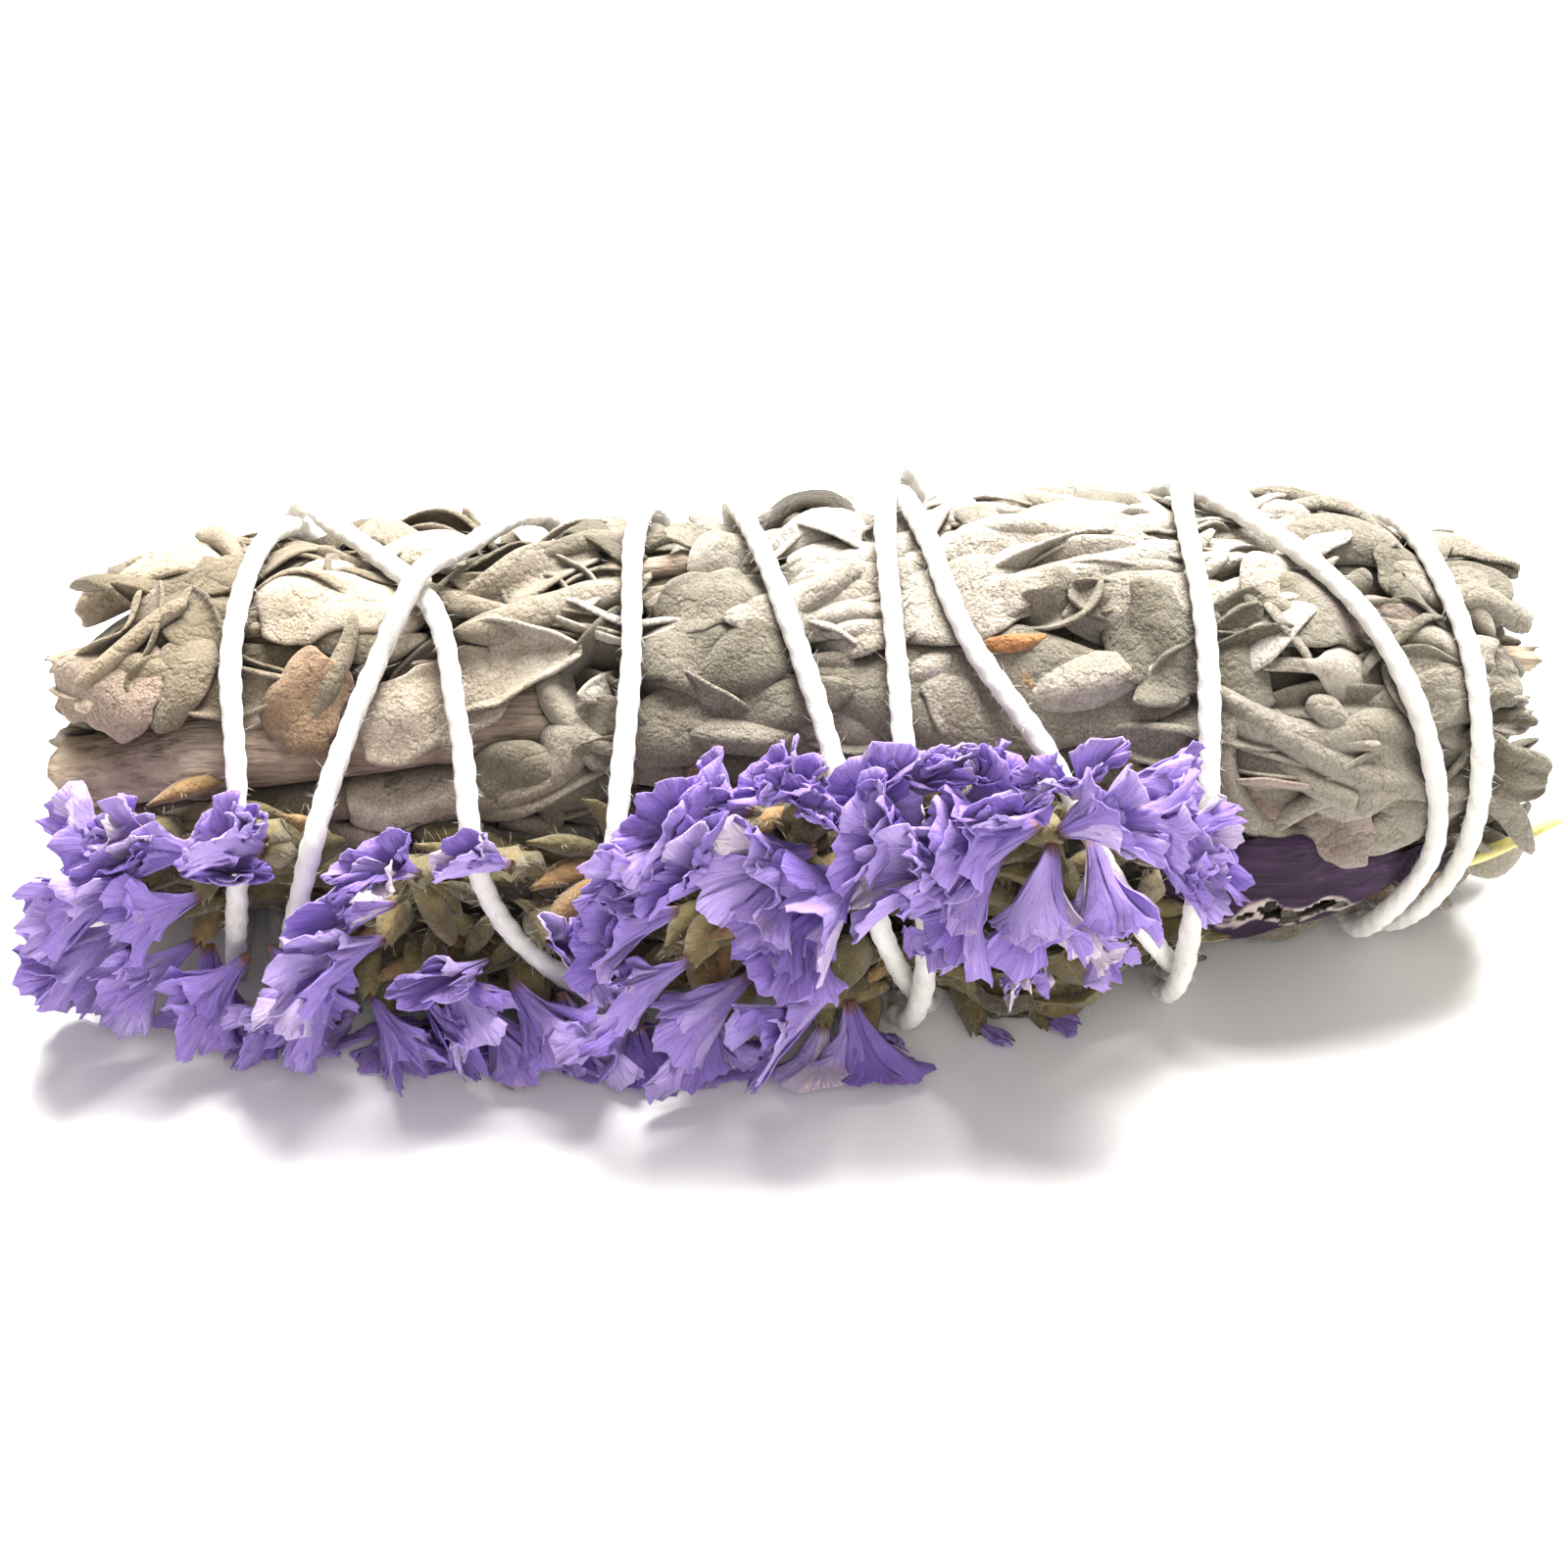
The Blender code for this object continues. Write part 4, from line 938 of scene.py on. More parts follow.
def bark_material():
    finish, shader = plain_material("bark", (0.30, 0.25, 0.20), 0.85)
    tree = finish.node_tree
    vector = object_vector(tree)
    stretch = tree.nodes.new("ShaderNodeMapping")
    stretch.inputs["Scale"].default_value = (0.12, 1, 1)
    tree.links.new(vector, stretch.inputs["Vector"])
    fibre = noise_node(tree, stretch.outputs["Vector"], 1500, 4, 0.6)
    patch = noise_node(tree, vector, 170, 4, 0.6)
    bark = ramp_node(tree, patch, BARK_TONES)
    lines = ramp_node(tree, fibre, BARK_LINES)
    color = mix_node(tree, "MULTIPLY", 0.75, bark, lines)
    torn = math_node(tree, "MULTIPLY", attribute(tree, "tone"), 0.85)
    color = mix_node(tree, "MIX", torn, color, (0.56, 0.46, 0.33))
    tree.links.new(color, shader.inputs["Base Color"])
    tree.links.new(bump_node(tree, fibre, 0.0007, 0.9), shader.inputs["Normal"])
    shader.inputs["Specular IOR Level"].default_value = 0.2
    return finish


def woody_stem(name, line, radii, seed, nodes, rings=()):
    """A stem from a line and its radii, with ridged bark, node rings at shares of it and hollow ends."""
    shape, tone_layer = toned_shape()
    count = len(line)
    inner = np.concatenate((line[2:3], line[1:2], line, line[-2:-1], line[-3:-2]))
    sizes = np.interp(np.linspace(0, 1, count), np.linspace(0, 1, len(radii)), radii)
    sizes = np.concatenate(([sizes[0] * 0.3, sizes[0] * 0.72], sizes, [sizes[-1] * 0.72, sizes[-1] * 0.3]))
    across, over = frames_along(line)
    across = np.concatenate((across[:1], across[:1], across, across[-1:], across[-1:]))
    over = np.concatenate((over[:1], over[:1], over, over[-1:], over[-1:]))
    ahead = (line[1] - line[0]) / np.linalg.norm(line[1] - line[0])
    last = len(inner) - 1
    grid = new_grid(shape, last, STEM_SIDES)
    rim = []
    for vert, i, j in grid:
        turn = 2 * math.pi * j / STEM_SIDES
        share = (i - 2) / (count - 1)
        radius = sizes[i] * (1 + 0.05 * math.sin(3 * turn + seed) + 0.03 * math.sin(7 * turn + 0.05 * i))
        for ring in rings:
            radius += RING_RISE * math.exp(-(((share - ring) * (count - 1) * STEM_STEP / RING_WIDTH) ** 2))
        end = max(0.0, 1 - min(i - 1, last - 1 - i) * 0.3)
        jag = end * 0.8 * (math.sin(4 * turn + seed) + 0.7 * math.sin(9 * turn + 2 * seed))
        point = inner[i] + radius * (across[i] * math.cos(turn) + over[i] * math.sin(turn))
        point = point + ahead * jag * 0.7
        vert.co = (point[0], point[1], max(point[2], 0.1))
        vert[tone_layer] = min(1.0, max(0.0, 1 - (min(i, last - i) - 1) * 0.22))
        if j in (0, STEM_SIDES):
            rim.append(vert)
    bmesh.ops.remove_doubles(shape, verts=rim, dist=MERGE)
    close_ends(shape, [row[0] for row in grid])
    return piece(name, shape, bark, nodes)


bark = bark_material()
woody_stem("thick_outer_stem", stem_line(OUTER_STEM), OUTER_STEM_RADII, 1.0, ["outer_woody_stem"],
           (0.28, 0.31, 0.8))
woody_stem("thin_top_stem", stem_line(TOP_STEM, 0.5), (0.9, 0.9), 2.0, ["top_stem"], (0.1, 0.5))
woody_stem("brown_side_stalk", stem_line(SIDE_STALK, 0.5), (0.9, 0.85), 3.0, ["side_stalk"], (0.3,))
for number in range(SPRIGS):
    low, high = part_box(f"sage_stem_{number + 1}")
    middle = -90 + 360 / SPRIGS * number
    xs = np.linspace(low[0] / MM - SHIFT_X, high[0] / MM - SHIFT_X, 60)
    radius = INNER_STEM_RADIUS + 0.2 * math.sin(number)
    line = np.array([place(float(x), middle + TWIST * x / 100, radius) for x in xs])
    woody_stem(f"inner_stem_{number + 1}", line, (1.45, 1.1), number * 0.7, [f"sage_stem_{number + 1}"])
heart = np.array([place(float(x), 0, 0) for x in np.linspace(-60, 60, 50)])
woody_stem("inner_stem_middle", heart, (2.25, 2.2), 6.0, ["sage_stem_middle"])

# The statice's green parts: three sprays of winged stems, with ribbed hairy calyces and narrow leaves.
# They lie on the sage under the string, and each calyx stands out between two turns of it.
GAP = 0.32
SPRAYS = {
    "upper": ((28, -20, 1.6), (20, -1, 1.8), (5, 12, 1.9), (-9, 14, 1.9)),
    "middle": ((29, -32, 1.6), (15, -16, 1.8), (-10, -7, 1.9), (-35, 0, 1.9), (-56, 3, 2.1)),
    "lower": ((28, -45, 1.6), (10, -36, 1.8), (-15, -29, 1.9), (-42, -25, 1.9)),
}
FLORETS = {
    "upper": (
        (-6, 12, 5.0, -40, 10), (-8, 21, 3.2, -5, 35), (0, 24, 3.6, 5, 42), (4, 21, 3.8, 10, 42),
        (3, 8, 4.6, -25, -30), (13, 12, 5.0, -40, 15), (9, 27, 3.4, 0, 42), (14, 25, 3.2, 0, 40),
        (17, 19, 4.0, 5, 38), (22, 18, 5.0, 40, 25), (26, 12, 3.6, 40, 5), (12, 2, 4.8, -30, -28),
        (22, 6, 5.0, 35, -5), (18, -4, 5.0, 0, -35), (23, -3, 4.6, 25, -30),
    ),
    "middle": (
        (-49, 12, 4.4, -55, 10), (-54, 2, 5.6, -60, -5), (-56, -13, 5.4, -55, -20), (-47, 0, 4.6, -10, -30),
        (-48, -16, 5.0, -40, -25), (-45, 18, 2.6, -10, 20), (-41, 16, 4.4, -25, 30), (-54, 15, 3.0, -45, 25),
        (-31, 12, 4.2, 0, 30), (-25, 14, 3.6, 10, 30), (-34, -3, 5.2, -15, -5), (-23, -2, 3.8, 20, 5),
        (-9, -6, 4.6, -40, -10),
    ),
    "lower": (
        (-42, -22, 4.2, -20, -10), (-36, -21, 4.6, 5, -10), (-32, -19, 4.4, 0, -5), (-35, -31, 5.0, -5, -20),
        (-30, -32, 4.8, 15, -25), (-27, -23, 4.8, 25, -15), (-41, -31, 4.2, -25, -20),
        (-22, -27, 4.2, 10, -15),
        (-19, -24, 3.6, 20, -15), (-14, -27, 5.2, -10, -15), (-8, -16, 4.8, 0, -5), (-5, -28, 5.0, 5, -20),
        (3, -14, 5.4, -35, -5), (2, -28, 4.6, 5, -15), (9, -33, 4.0, 10, -15), (15, -37, 3.6, 15, -10),
        (21, -40, 3.2, 20, -5),
    ),
}
CALYX_LENGTH = 5.6
GREEN_LEAF_THICK = 0.25
CALYX_WIDTH = 1.35
CALYX_CELLS = 8
CALYX_SIDES = 10
CALYX_STATIONS = (0, 1.5, 3, 4.5)
CALYX_HAIRS = 26
BARE_CALYCES = 5
BARE_HAIRS = 15
HAIR_WIDTH = 0.022
FLORET_GAP = 2.5
BARE_GAP = 2.2
TIP_X = -46.0
FOOT_SHIFTS = (0, 0.8, -0.8, 1.6, -1.6, 2.4, -2.4, 3.2, -3.2, 4, -4)
BRACTS = 13
DARK_STALKS = 56
GREEN_TONES = (
    (0.0, (0.05, 0.040, 0.022)), (0.4, (0.125, 0.105, 0.050)), (0.7, (0.20, 0.165, 0.080)),
    (0.9, (0.26, 0.13, 0.06)), (1.0, (0.62, 0.58, 0.50)),
)
string_tree = KDTree(len(string_line))
for i, point in enumerate(string_line):
    string_tree.insert(point, i)
string_tree.balance()


def directions(angle, lean_x, lean_round):
    """A floret's axis and the two directions across it, from its angle and its lean in degrees."""
    turn = math.radians(angle)
    out = Vector((0, -math.cos(turn), math.sin(turn)))
    up = Vector((0, math.sin(turn), math.cos(turn)))
    axis = out + Vector((1, 0, 0)) * math.tan(math.radians(lean_x))
    axis = axis + up * math.tan(math.radians(lean_round))
    axis.normalize()
    side = axis.cross(Vector((1, 0, 0)) if abs(axis.x) < 0.9 else up).normalized()
    return axis, side, axis.cross(side)


def floret_foot(x, angle):
    rise = string_radius(x, angle) + STRING_RADIUS + GAP + 1.2
    return min(rise, float(girth(x)) + 5.2) if x < TIP_X else rise


def clear_of_string(foot, axis, gap):
    """Whether a calyx with its tip at foot keeps this gap from the string all along."""
    return min(string_tree.find(foot - axis * back)[2] for back in CALYX_STATIONS) > gap


def calyx(shape, tone_layer, foot, axis, length, width, tone, mouth, fur):
    """A ribbed spindle with pointed sepals, its tip at foot, and its hairs, which are added to fur."""
    draw, count, rows = fur
    side = axis.cross(Vector((0.2, 0.3, 0.9))).normalized()
    over = axis.cross(side)
    grid = new_grid(shape, CALYX_CELLS, CALYX_SIDES)
    rim = []
    for vert, i, j in grid:
        s = i / CALYX_CELLS
        turn = 2 * math.pi * j / CALYX_SIDES
        rib = 0.13 if j % 2 else -0.13
        swell = width * (mouth + (1.1 - mouth) * math.sin(math.pi * min(1, s * 0.9 + 0.08)) ** 0.8)
        back = (1 - s) * length - (0.7 if j % 2 and s > 0.95 else 0)
        bend = axis * (-back) + over * (0.5 * back * back / length * 0.3)
        vert.co = foot + bend + (side * math.cos(turn) + over * math.sin(turn)) * swell * (1 + rib)
        vert[tone_layer] = tone
        if j in (0, CALYX_SIDES):
            rim.append(vert)
    bmesh.ops.remove_doubles(shape, verts=rim, dist=MERGE)
    close_ends(shape, [row[0] for row in grid])
    for k in range(count):
        turn = draw.uniform(0, 2 * math.pi)
        share = draw.uniform(0.05, 0.95)
        out = side * math.cos(turn) + over * math.sin(turn)
        root = foot - axis * length * share + out * width * 0.8
        tip = root + out * draw.uniform(0.6, 1.5) + axis * draw.uniform(0.1, 1.2)
        rows.append((root, tip, HAIR_WIDTH))


def green_material():
    finish, shader = plain_material("dried_green", (0.12, 0.11, 0.06), 0.85)
    tree = finish.node_tree
    vector = object_vector(tree)
    color = ramp_node(tree, attribute(tree, "tone"), GREEN_TONES)
    spots = noise_node(tree, vector, 420, 4, 0.65)
    patch = ramp_node(tree, spots, ((0.3, (0.5, 0.45, 0.4)), (0.65, (1.5, 1.45, 1.3))))
    color = mix_node(tree, "MULTIPLY", 0.8, color, patch)
    tree.links.new(color, shader.inputs["Base Color"])
    fibre = noise_node(tree, vector, 1600, 3, 0.6)
    tree.links.new(bump_node(tree, fibre, 0.0005, 0.7), shader.inputs["Normal"])
    shader.inputs["Sheen Weight"].default_value = 0.25
    shader.inputs["Specular IOR Level"].default_value = 0.25
    return finish


def thicken(shape, verts):
    """Gives a sheet that was just laid a wall of its own."""
    sheet = {face for vert in verts for face in vert.link_faces}
    bmesh.ops.solidify(shape, geom=list(sheet), thickness=GREEN_LEAF_THICK)


def bract_ceiling(x, angle):
    """How far out the sprays' narrow leaves may stand."""
    return girth(x) + 3.6


def stalk_ceiling(x, angle):
    """How far out the dark stalks at the lower right may stand: they bulge beside the last blooms."""
    return girth(x) + curve_value(BULGE, x) - 0.3 + 3.4 * np.interp(x, (13, 16, 24, 28), (0, 1, 1, 0))


def wing_radius(i, turn, start):
    """A statice stem's radius: two thin wings that wind slowly round it from this turn."""
    wing = abs(math.cos(turn + start + i * 0.03)) ** 8
    return 0.72 + (1.0 + 0.3 * math.sin(i * 0.3)) * wing


dried_green = green_material()
draw = random.Random(23)
blooms = []
for name, rows in SPRAYS.items():
    shape, tone_layer = toned_shape()
    line = stem_line([(x, angle, -over) for x, angle, over in rows], 0.6)
    run = [row[:2] for row in rows[::-1]]
    start = draw.uniform(0, 6)
    for vert in wrapped_tube(shape, line, lambda i, turn: wing_radius(i, turn, start), 16):
        vert[tone_layer] = 0.35
    fur = []
    for x, angle, limb, lean_x, lean_round in FLORETS[name]:
        axis, side, across = directions(angle, lean_x * 0.6, lean_round * 0.6)
        for shift in FOOT_SHIFTS:
            foot = place(x + shift, angle, floret_foot(x + shift, angle))
            if clear_of_string(foot, axis, FLORET_GAP):
                break
        calyx(shape, tone_layer, foot, axis, CALYX_LENGTH, CALYX_WIDTH, draw.uniform(0.3, 0.8), 0.35,
              (draw, CALYX_HAIRS, fur))
        blooms.append((foot, x + shift, angle, limb, lean_x, lean_round))
        for k in range(BARE_CALYCES):
            spot = Vector((draw.gauss(0, 2.2), 0, 0)) + side * draw.gauss(0, 1.8)
            spot = spot - axis * draw.uniform(0.8, 4.5)
            lean = axis * 0.6 + Vector((-0.75, 0, 0)) + side * draw.gauss(0, 0.4)
            lean = (lean + across * draw.gauss(0, 0.35)).normalized()
            bud = foot + spot
            if clear_of_string(bud, lean, BARE_GAP) and bud.z > 1.5:
                tone = draw.uniform(0.05, 0.65) if draw.random() < 0.8 else 0.8
                length = draw.uniform(5, 7.5)
                width = draw.uniform(0.65, 1.0)
                calyx(shape, tone_layer, bud, lean, length, width, tone, 0.0, (draw, BARE_HAIRS, fur))
        root = min((Vector(point) for point in line), key=lambda point: (point - foot + axis * 5).length)
        branch = evenly([root, foot - axis * (CALYX_LENGTH - 0.6)], 0.7)
        if len(branch) > 2:
            for vert in wrapped_tube(shape, branch, lambda i, turn: 0.55, 8):
                vert[tone_layer] = 0.3
    for k in range(BRACTS):
        x = draw.uniform(2, 29) if k < 9 else draw.uniform(-50, 0)
        leaf = any_leaf(draw, x, draw.uniform(-14, 10), 2.8, ((9, 15), (2.6, 4.6)))
        leaf.update(kind="folded", edge="leaf", heading=draw.gauss(0, 0.3), roll=draw.gauss(0, 0.5), loop=0,
                    tear=0.1, tone=draw.uniform(0.1, 0.7), crumple=0.4, under=0, rise=0.3,
                    dive=draw.uniform(-0.4, 0.2))
        leaf["angle"] = float(curve_value(run, x)) + draw.uniform(-12, 8)
        thicken(shape, laid_sheet(shape, tone_layer, leaf, (12, 4), bract_ceiling))
    for k in range(DARK_STALKS if name == "lower" else 0):
        leaf = any_leaf(draw, draw.uniform(5, 26), draw.uniform(-46, -20), 0, ((11, 20), (2.2, 4.8)))
        leaf.update(kind=draw.choice(("folded", "tube", "broad")), edge="leaf", heading=draw.gauss(0, 0.22),
                    loop=0, stand=draw.uniform(2.4, 9.0), tone=draw.uniform(0.0, 0.6),
                    under=draw.uniform(0, 0.8), tear=0.1)
        laid = laid_sheet(shape, tone_layer, leaf, (9, 4), stalk_ceiling)
        for vert in laid[::4]:
            out = Vector((0, vert.co.y - AXIS_Y, vert.co.z - 17)).normalized()
            lean = Vector((draw.gauss(0, 0.5), draw.gauss(0, 0.5), draw.gauss(0, 0.5)))
            fur.append((vert.co.copy(), vert.co + (out + lean) * draw.uniform(0.8, 1.7), HAIR_WIDTH))
        thicken(shape, laid)
    first_hair = len(shape.verts)
    hairs(shape, [row for row in fur if row[1][2] > FLOOR])
    shape.verts.ensure_lookup_table()
    for vert in shape.verts[first_hair:]:
        vert[tone_layer] = 1.0
    for vert in shape.verts:
        vert.co.z = max(vert.co.z, FLOOR)
    piece(f"statice_green_{name}", shape, dried_green, [f"statice_stems_{name}"])

# The statice's blooms: papery violet funnels of five crumpled petals with toothed rims, flattened by drying.
# Each stands in its calyx, outside the string, and goes with the solid bloom that it stands in for.
PETAL_CELLS = (5, 12)
PETAL_THICK = 0.12
PETAL_LENGTH = 2.1
STRING_NEAR = 2.2
STRING_BESIDE = 1.3
UP_LEAN = 18
PETAL_TONES = (
    (0.0, (0.19, 0.110, 0.46)), (0.4, (0.34, 0.220, 0.66)), (0.8, (0.47, 0.345, 0.76)),
    (0.95, (0.56, 0.44, 0.74)), (1.0, (0.66, 0.54, 0.68)),
)
PETAL_VEINS = (
    (0.30, (0.46, 0.38, 0.66)), (0.46, (1, 1, 1)), (0.57, (1.12, 1.16, 1.05)), (0.68, (1.75, 2.0, 1.15)),
)
MORE_BLOOMS = (
    (-55, -20, 5.4, -55, -25), (-54, 9, 4.4, -60, 0), (-50, -22, 5.0, -20, -45), (-44, -10, 4.4, 30, -35),
    (-37, -12, 5.2, -35, -30), (-30, -10, 4.4, 35, -30), (-38, -33, 4.2, -20, -35), (-24, -16, 4.0, 35, -30),
    (-12, -18, 5.0, -45, -25), (-16, -32, 4.6, -25, -40), (-9, -31, 4.6, 5, -45), (-10, 4, 5.2, -55, -5),
    (-9, 11, 5.2, -50, 10), (-7, 18, 4.8, -48, 20), (-4, 22, 4.4, -40, 35), (0, 24, 4.2, -20, 45),
    (3, 21, 4.6, 45, 35), (7, 22, 4.2, -30, 45), (1, 16, 5.0, -48, -10), (6, 14, 5.0, -50, -20),
    (10, 17, 4.8, -48, 10), (9, 24, 3.6, 20, 45), (13, 23, 3.8, 35, 40), (16, 18, 4.6, -48, 5),
    (19, 19, 5.2, -50, -25), (20, 16, 5.4, -25, -52), (23, 17, 5.2, 30, -50), (25, 20, 4.8, 50, 0),
    (27, 17, 4.6, 50, -25), (22, 23, 4.2, -20, 42), (25, 24, 3.8, 45, 30), (16, 15, 5.0, -52, -30),
    (-46, 9, 3.4, 0, 10), (2, 12, 4.8, -48, -30), (-52, 6, 4.8, -50, 20), (-46, -14, 4.8, -30, -40),
    (-28, -28, 4.8, -35, -35), (-33, 4, 4.4, -40, 25), (-20, -20, 4.6, 20, -40), (-40, -24, 4.6, -40, -25),
    (-4, -12, 4.8, -45, -15), (-26, -10, 4.4, -30, 20), (4, -22, 4.6, 20, -35), (-57, -4, 4.8, -50, 10),
)


def petal_material():
    finish, shader = plain_material("violet_paper", (0.34, 0.24, 0.62), 0.6)
    tree = finish.node_tree
    tone = attribute(tree, "tone")
    own = tree.nodes.new("ShaderNodeUVMap")
    own.uv_map = "UVMap"
    split = tree.nodes.new("ShaderNodeSeparateXYZ")
    tree.links.new(own.outputs["UV"], split.inputs["Vector"])
    streaks = tree.nodes.new("ShaderNodeCombineXYZ")
    across = math_node(tree, "MULTIPLY", split.outputs["Y"], 17.0)
    own_start = math_node(tree, "MULTIPLY", tone, 57.0)
    tree.links.new(math_node(tree, "ADD", across, own_start), streaks.inputs["X"])
    tree.links.new(math_node(tree, "MULTIPLY", split.outputs["X"], 1.3), streaks.inputs["Y"])
    veins = noise_node(tree, streaks.outputs["Vector"], 2.2, 5, 0.7)
    base = ramp_node(tree, tone, PETAL_TONES)
    lines = ramp_node(tree, veins, PETAL_VEINS)
    color = mix_node(tree, "MULTIPLY", 0.95, base, lines)
    foot = ramp_node(tree, split.outputs["X"], ((0.03, (1, 1, 1)), (0.14, (0, 0, 0))))
    color = mix_node(tree, "MIX", foot, color, (0.30, 0.13, 0.08))
    faded = noise_node(tree, object_vector(tree), 340, 4, 0.7)
    cream = ramp_node(tree, faded, ((0.60, (0, 0, 0)), (0.74, (0.75, 0.75, 0.75))))
    color = mix_node(tree, "MIX", cream, color, (0.62, 0.46, 0.52))
    tree.links.new(color, shader.inputs["Base Color"])
    crinkle = noise_node(tree, object_vector(tree), 1300, 3, 0.6)
    veined = bump_node(tree, veins, 0.0006, 0.6)
    tree.links.new(bump_node(tree, crinkle, 0.0003, 0.5, veined), shader.inputs["Normal"])
    shader.inputs["Sheen Weight"].default_value = 0.15
    shader.inputs["Specular IOR Level"].default_value = 0.35
    return finish


def petal(shape, tone_layer, foot, axis, side, over, own):
    """One petal of a funnel: a wedge that flares from the foot, pleated, with a notched toothed rim."""
    cells_s, cells_t = PETAL_CELLS
    s = np.linspace(0, 1, cells_s + 1)[:, None]
    t = np.linspace(-1, 1, cells_t + 1)[None, :]
    phase = own["phase"]
    pleats = np.cos(math.pi * np.arange(cells_t + 1))[None, :]
    teeth = 0.045 * pleats + 0.04 * np.sin(7 * t + phase)
    rim = 1 - 0.12 * t**2 - 0.10 * np.exp(-((t / 0.15) ** 2)) + teeth * s**3
    flare = own["tube"] + (own["open"] - own["tube"]) * s**1.1 + 0.25 * s * np.sin(2.5 * t + phase)
    step = own["length"] / cells_s
    reach = 0.45 + np.cumsum(np.sin(flare) * step * rim, axis=0) - np.sin(flare) * step * rim
    high = np.cumsum(np.cos(flare) * step * rim, axis=0) - np.cos(flare) * step * rim
    pleat = 0.13 * pleats + 0.75 * np.sin(1.7 * t + 2.4 * s + 2 * phase)
    crumple = 0.6 * (0.6 - np.abs(np.sin(3.4 * s + 2.6 * t + phase)))
    crumple = crumple + 0.2 * np.sin(8 * s - 6 * t + 3 * phase)
    push = s * (pleat + crumple * 1.3) * own["crumple"]
    reach = reach - push * np.cos(flare)
    high = high + push * np.sin(flare)
    turn = own["turn"] + t * own["half"] * (0.75 + 0.35 * s) + 0.12 * np.sin(6 * s + phase) * s
    u = reach * np.cos(turn) * own["flat"]
    v = reach * np.sin(turn)
    for vert, i, j in new_grid(shape, cells_s, cells_t):
        spot = foot + axis * high[i, j] + side * u[i, j] + over * v[i, j]
        near, index, gap = string_tree.find(spot)
        if gap < STRING_NEAR:
            centre = Vector((near.x, AXIS_Y, float(curve_value(AXIS_HEIGHT, near.x))))
            outward = (near - centre).normalized()
            high_over = (spot - near).dot(outward)
            beside = math.sqrt(max(0.0, gap * gap - high_over * high_over))
            if beside < STRING_BESIDE:
                spot += outward * max(0.0, math.sqrt(1.7 - beside * beside) - high_over)
        spot.z = own["floor"] + float(np.logaddexp(0, (spot.z - own["floor"]) / 0.5)) * 0.5
        vert.co = spot
        vert[tone_layer] = own["tone"]


def bloom(shape, tone_layer, draw, foot, angle, limb, lean_x, lean_round):
    """One floret's bloom: five petals and two smaller ones inside them, flattened and leaning."""
    lean_x += draw.gauss(0, 9)
    lean_round += draw.gauss(0, 9)
    lean = math.hypot(lean_x, lean_round)
    grow = max(1.0, 50 / max(lean, 8))
    axis, side, across = directions(angle, lean_x * grow, min(lean_round * grow, 38))
    outward = Vector((0, -math.cos(math.radians(angle)), math.sin(math.radians(angle))))
    side = (outward - axis * outward.dot(axis) + across * draw.gauss(0, 0.25)).normalized()
    across = axis.cross(side)
    flat = draw.uniform(0.22, 0.6)
    opening = draw.uniform(0.75, 1.15)
    for layer, share, count in ((0, 1.0, 5), (1, 0.75, 2)):
        for k in range(count):
            own = {
                "turn": 2 * math.pi * (k + draw.uniform(-0.15, 0.15)) / count + layer * 0.6,
                "flat": flat,
                "half": math.pi / 5 * draw.uniform(0.85, 1.4),
                "floor": draw.uniform(0.2, 1.6),
                "length": limb * PETAL_LENGTH * share * draw.uniform(0.82, 1.1),
                "tube": 0.2,
                "open": opening * draw.uniform(0.75, 1.25) * share,
                "crumple": draw.uniform(0.7, 1.3),
                "phase": draw.uniform(0, 6.28),
                "tone": min(1.0, max(0.0, draw.gauss(0.45, 0.27))),
            }
            petal(shape, tone_layer, foot + axis * 0.3 * layer, axis, side, across, own)


def fitted(foot, x, angle, limb, lean_x, lean_round):
    """A floret's own bloom, smaller among the dark stalks and at the back, and flatter at the upper left."""
    if -33 < x < -22 and angle > 5:
        lean_x, lean_round = -48, 24
    if (x > 4 and angle < -12) or (x > 10 and angle < 8):
        limb *= 0.45
    elif angle > 20:
        limb *= 0.85
    return foot, x, angle, limb, lean_x, lean_round


def raised(foot, x, angle, limb, lean_x, lean_round):
    """The same bloom, leaning further up if it stands high on the left half."""
    if x < -5 and angle > -18:
        lean_round += UP_LEAN
    return foot, x, angle, limb, lean_x, lean_round


def distance_to(node, spot):
    """How far a spot lies outside a solid bloom's box, and a little for how far from its centre."""
    low, high = bloom_boxes[node]
    outside = [max(low[k] - spot[k], 0, spot[k] - high[k]) for k in range(3)]
    return Vector(outside).length + 0.05 * ((low + high) / 2 - spot).length


violet_paper = petal_material()
bloom_boxes = {}
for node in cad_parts:
    if node.startswith("statice_blooms"):
        low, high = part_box(node)
        bloom_boxes[node] = (Vector(low) / MM, Vector(high) / MM)
blooms = [fitted(*row) for row in blooms]
for x, angle, limb, lean_x, lean_round in MORE_BLOOMS:
    foot = place(x, angle, floret_foot(x, angle) - 0.8)
    blooms.append((foot, x, angle, limb, lean_x, lean_round))
groups = {node: [] for node in bloom_boxes}
for row in blooms:
    foot, x, angle, limb, lean_x, lean_round = raised(*row)
    middle = foot + directions(angle, lean_x, lean_round)[0] * 3
    nearest = min(bloom_boxes, key=lambda node: distance_to(node, middle))
    groups[nearest].append((foot, angle, limb, lean_x, lean_round))
draw = random.Random(31)
for node, rows in groups.items():
    shape, tone_layer = toned_shape()
    for row in rows:
        bloom(shape, tone_layer, draw, *row)
    made = piece(node.replace("blooms", "petals"), shape, violet_paper, [node])
    give_wall(made, PETAL_THICK)

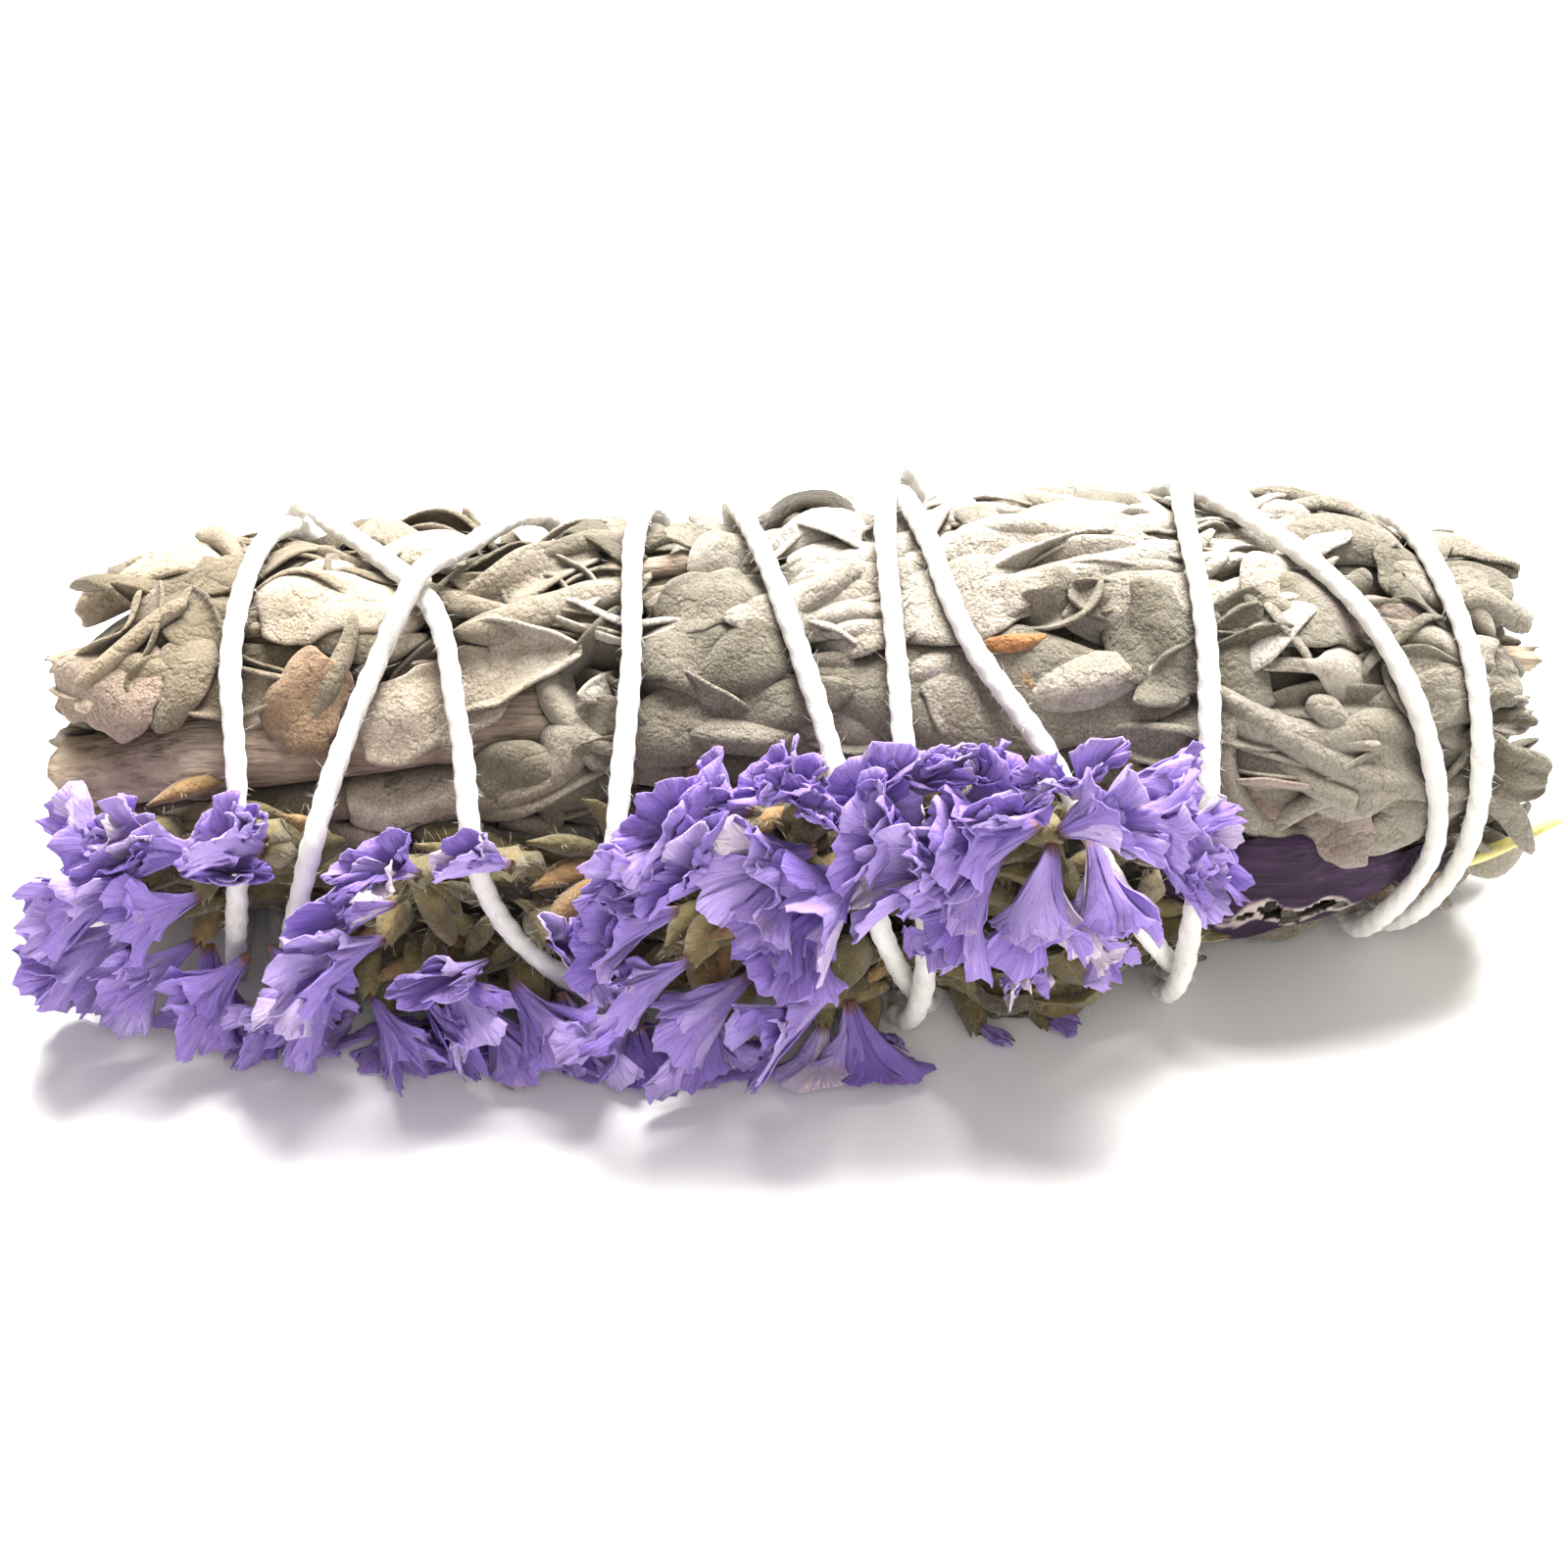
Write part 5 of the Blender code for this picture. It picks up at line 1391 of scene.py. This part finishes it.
# The dark petal at the lower right: thin, satin, deep violet, with a torn hole, held by the string.
# The dry blade at the right end: a thin yellow-green straw that curls up past the leaves.
DARK_PETAL_THICK = 0.2
DARK_PETAL_CELLS = (60, 26)
HOLE = Vector((42.0, 9.5))
HOLE_SIZE = 0.62
SATIN_TONES = ((0.3, (0.010, 0.003, 0.012)), (0.55, (0.024, 0.007, 0.030)), (0.75, (0.060, 0.022, 0.066)))
DRY_BLADE = ((54.6, -21, 1.3), (58, -16, 0.9), (61, -9, 0.6), (64, -1, 0.2))


def satin_material():
    finish, shader = plain_material("dark_satin", (0.05, 0.02, 0.06), 0.6)
    tree = finish.node_tree
    vector = object_vector(tree)
    stretch = tree.nodes.new("ShaderNodeMapping")
    stretch.inputs["Scale"].default_value = (0.15, 1, 1)
    tree.links.new(vector, stretch.inputs["Vector"])
    veins = noise_node(tree, stretch.outputs["Vector"], 900, 4, 0.6)
    color = ramp_node(tree, veins, SATIN_TONES)
    edge = ramp_node(tree, attribute(tree, "tone"), ((0.5, (0, 0, 0)), (1.0, (1, 1, 1))))
    color = mix_node(tree, "MIX", edge, color, (0.46, 0.38, 0.36))
    tree.links.new(color, shader.inputs["Base Color"])
    tree.links.new(bump_node(tree, veins, 0.0008, 0.8), shader.inputs["Normal"])
    shader.inputs["Specular IOR Level"].default_value = 0.2
    return finish


dark_satin = satin_material()
shape, tone_layer = toned_shape()
leaf = any_leaf(random.Random(3), 42.0, -16, 0.9, ((22, 23), (9, 10)))
leaf.update(kind="broad", edge="leaf", length=27.0, width=15.5, heading=math.radians(-5),
            bend=math.radians(14), loop=0, roll=0.05, twist=0.1, crumple=0.35, tear=0.3, tone=0.0, stand=1.5,
            under=-0.5, rise=0.1, dive=0.1, fold=-0.3)
laid_sheet(shape, tone_layer, leaf, DARK_PETAL_CELLS, over_stem_ceiling)
torn = []
for vert in shape.verts:
    x = vert.co.x
    low = (vert.co.z - HOLE.y) + 1.2 * math.sin(x * 1.1)
    hole = ((x - HOLE.x) / 5.2) ** 2 + (low / 1.9) ** 2 + 0.25 * math.sin(3 * x) + 0.2 * math.sin(5 * low)
    vert[tone_layer] = max(0.0, min(1.0, 1.6 - 0.75 * (hole - 0.35)))
    if hole < HOLE_SIZE:
        torn.append(vert)
bmesh.ops.delete(shape, geom=torn, context="VERTS")
made = piece("violet_petal", shape, dark_satin, ["dark_petal"])
give_wall(made, DARK_PETAL_THICK)


def straw_material():
    finish, shader = plain_material("dry_straw", (0.5, 0.45, 0.16), 0.55)
    tree = finish.node_tree
    vector = object_vector(tree)
    patch = noise_node(tree, vector, 300, 3)
    color = ramp_node(tree, patch, ((0.3, (0.42, 0.36, 0.10)), (0.6, (0.62, 0.57, 0.22))))
    tree.links.new(color, shader.inputs["Base Color"])
    fibre = noise_node(tree, vector, 2500, 2)
    tree.links.new(bump_node(tree, fibre, 0.0002, 0.5), shader.inputs["Normal"])
    return finish


shape = new_shape()
line = stem_line(DRY_BLADE, 0.35)
count = len(line)
wrapped_tube(shape, line, lambda i, turn: (0.38 + 0.42 * abs(math.cos(turn))) * (1.15 - 0.5 * i / count), 12)
piece("dry_straw_blade", shape, straw_material(), ["dry_blade"])
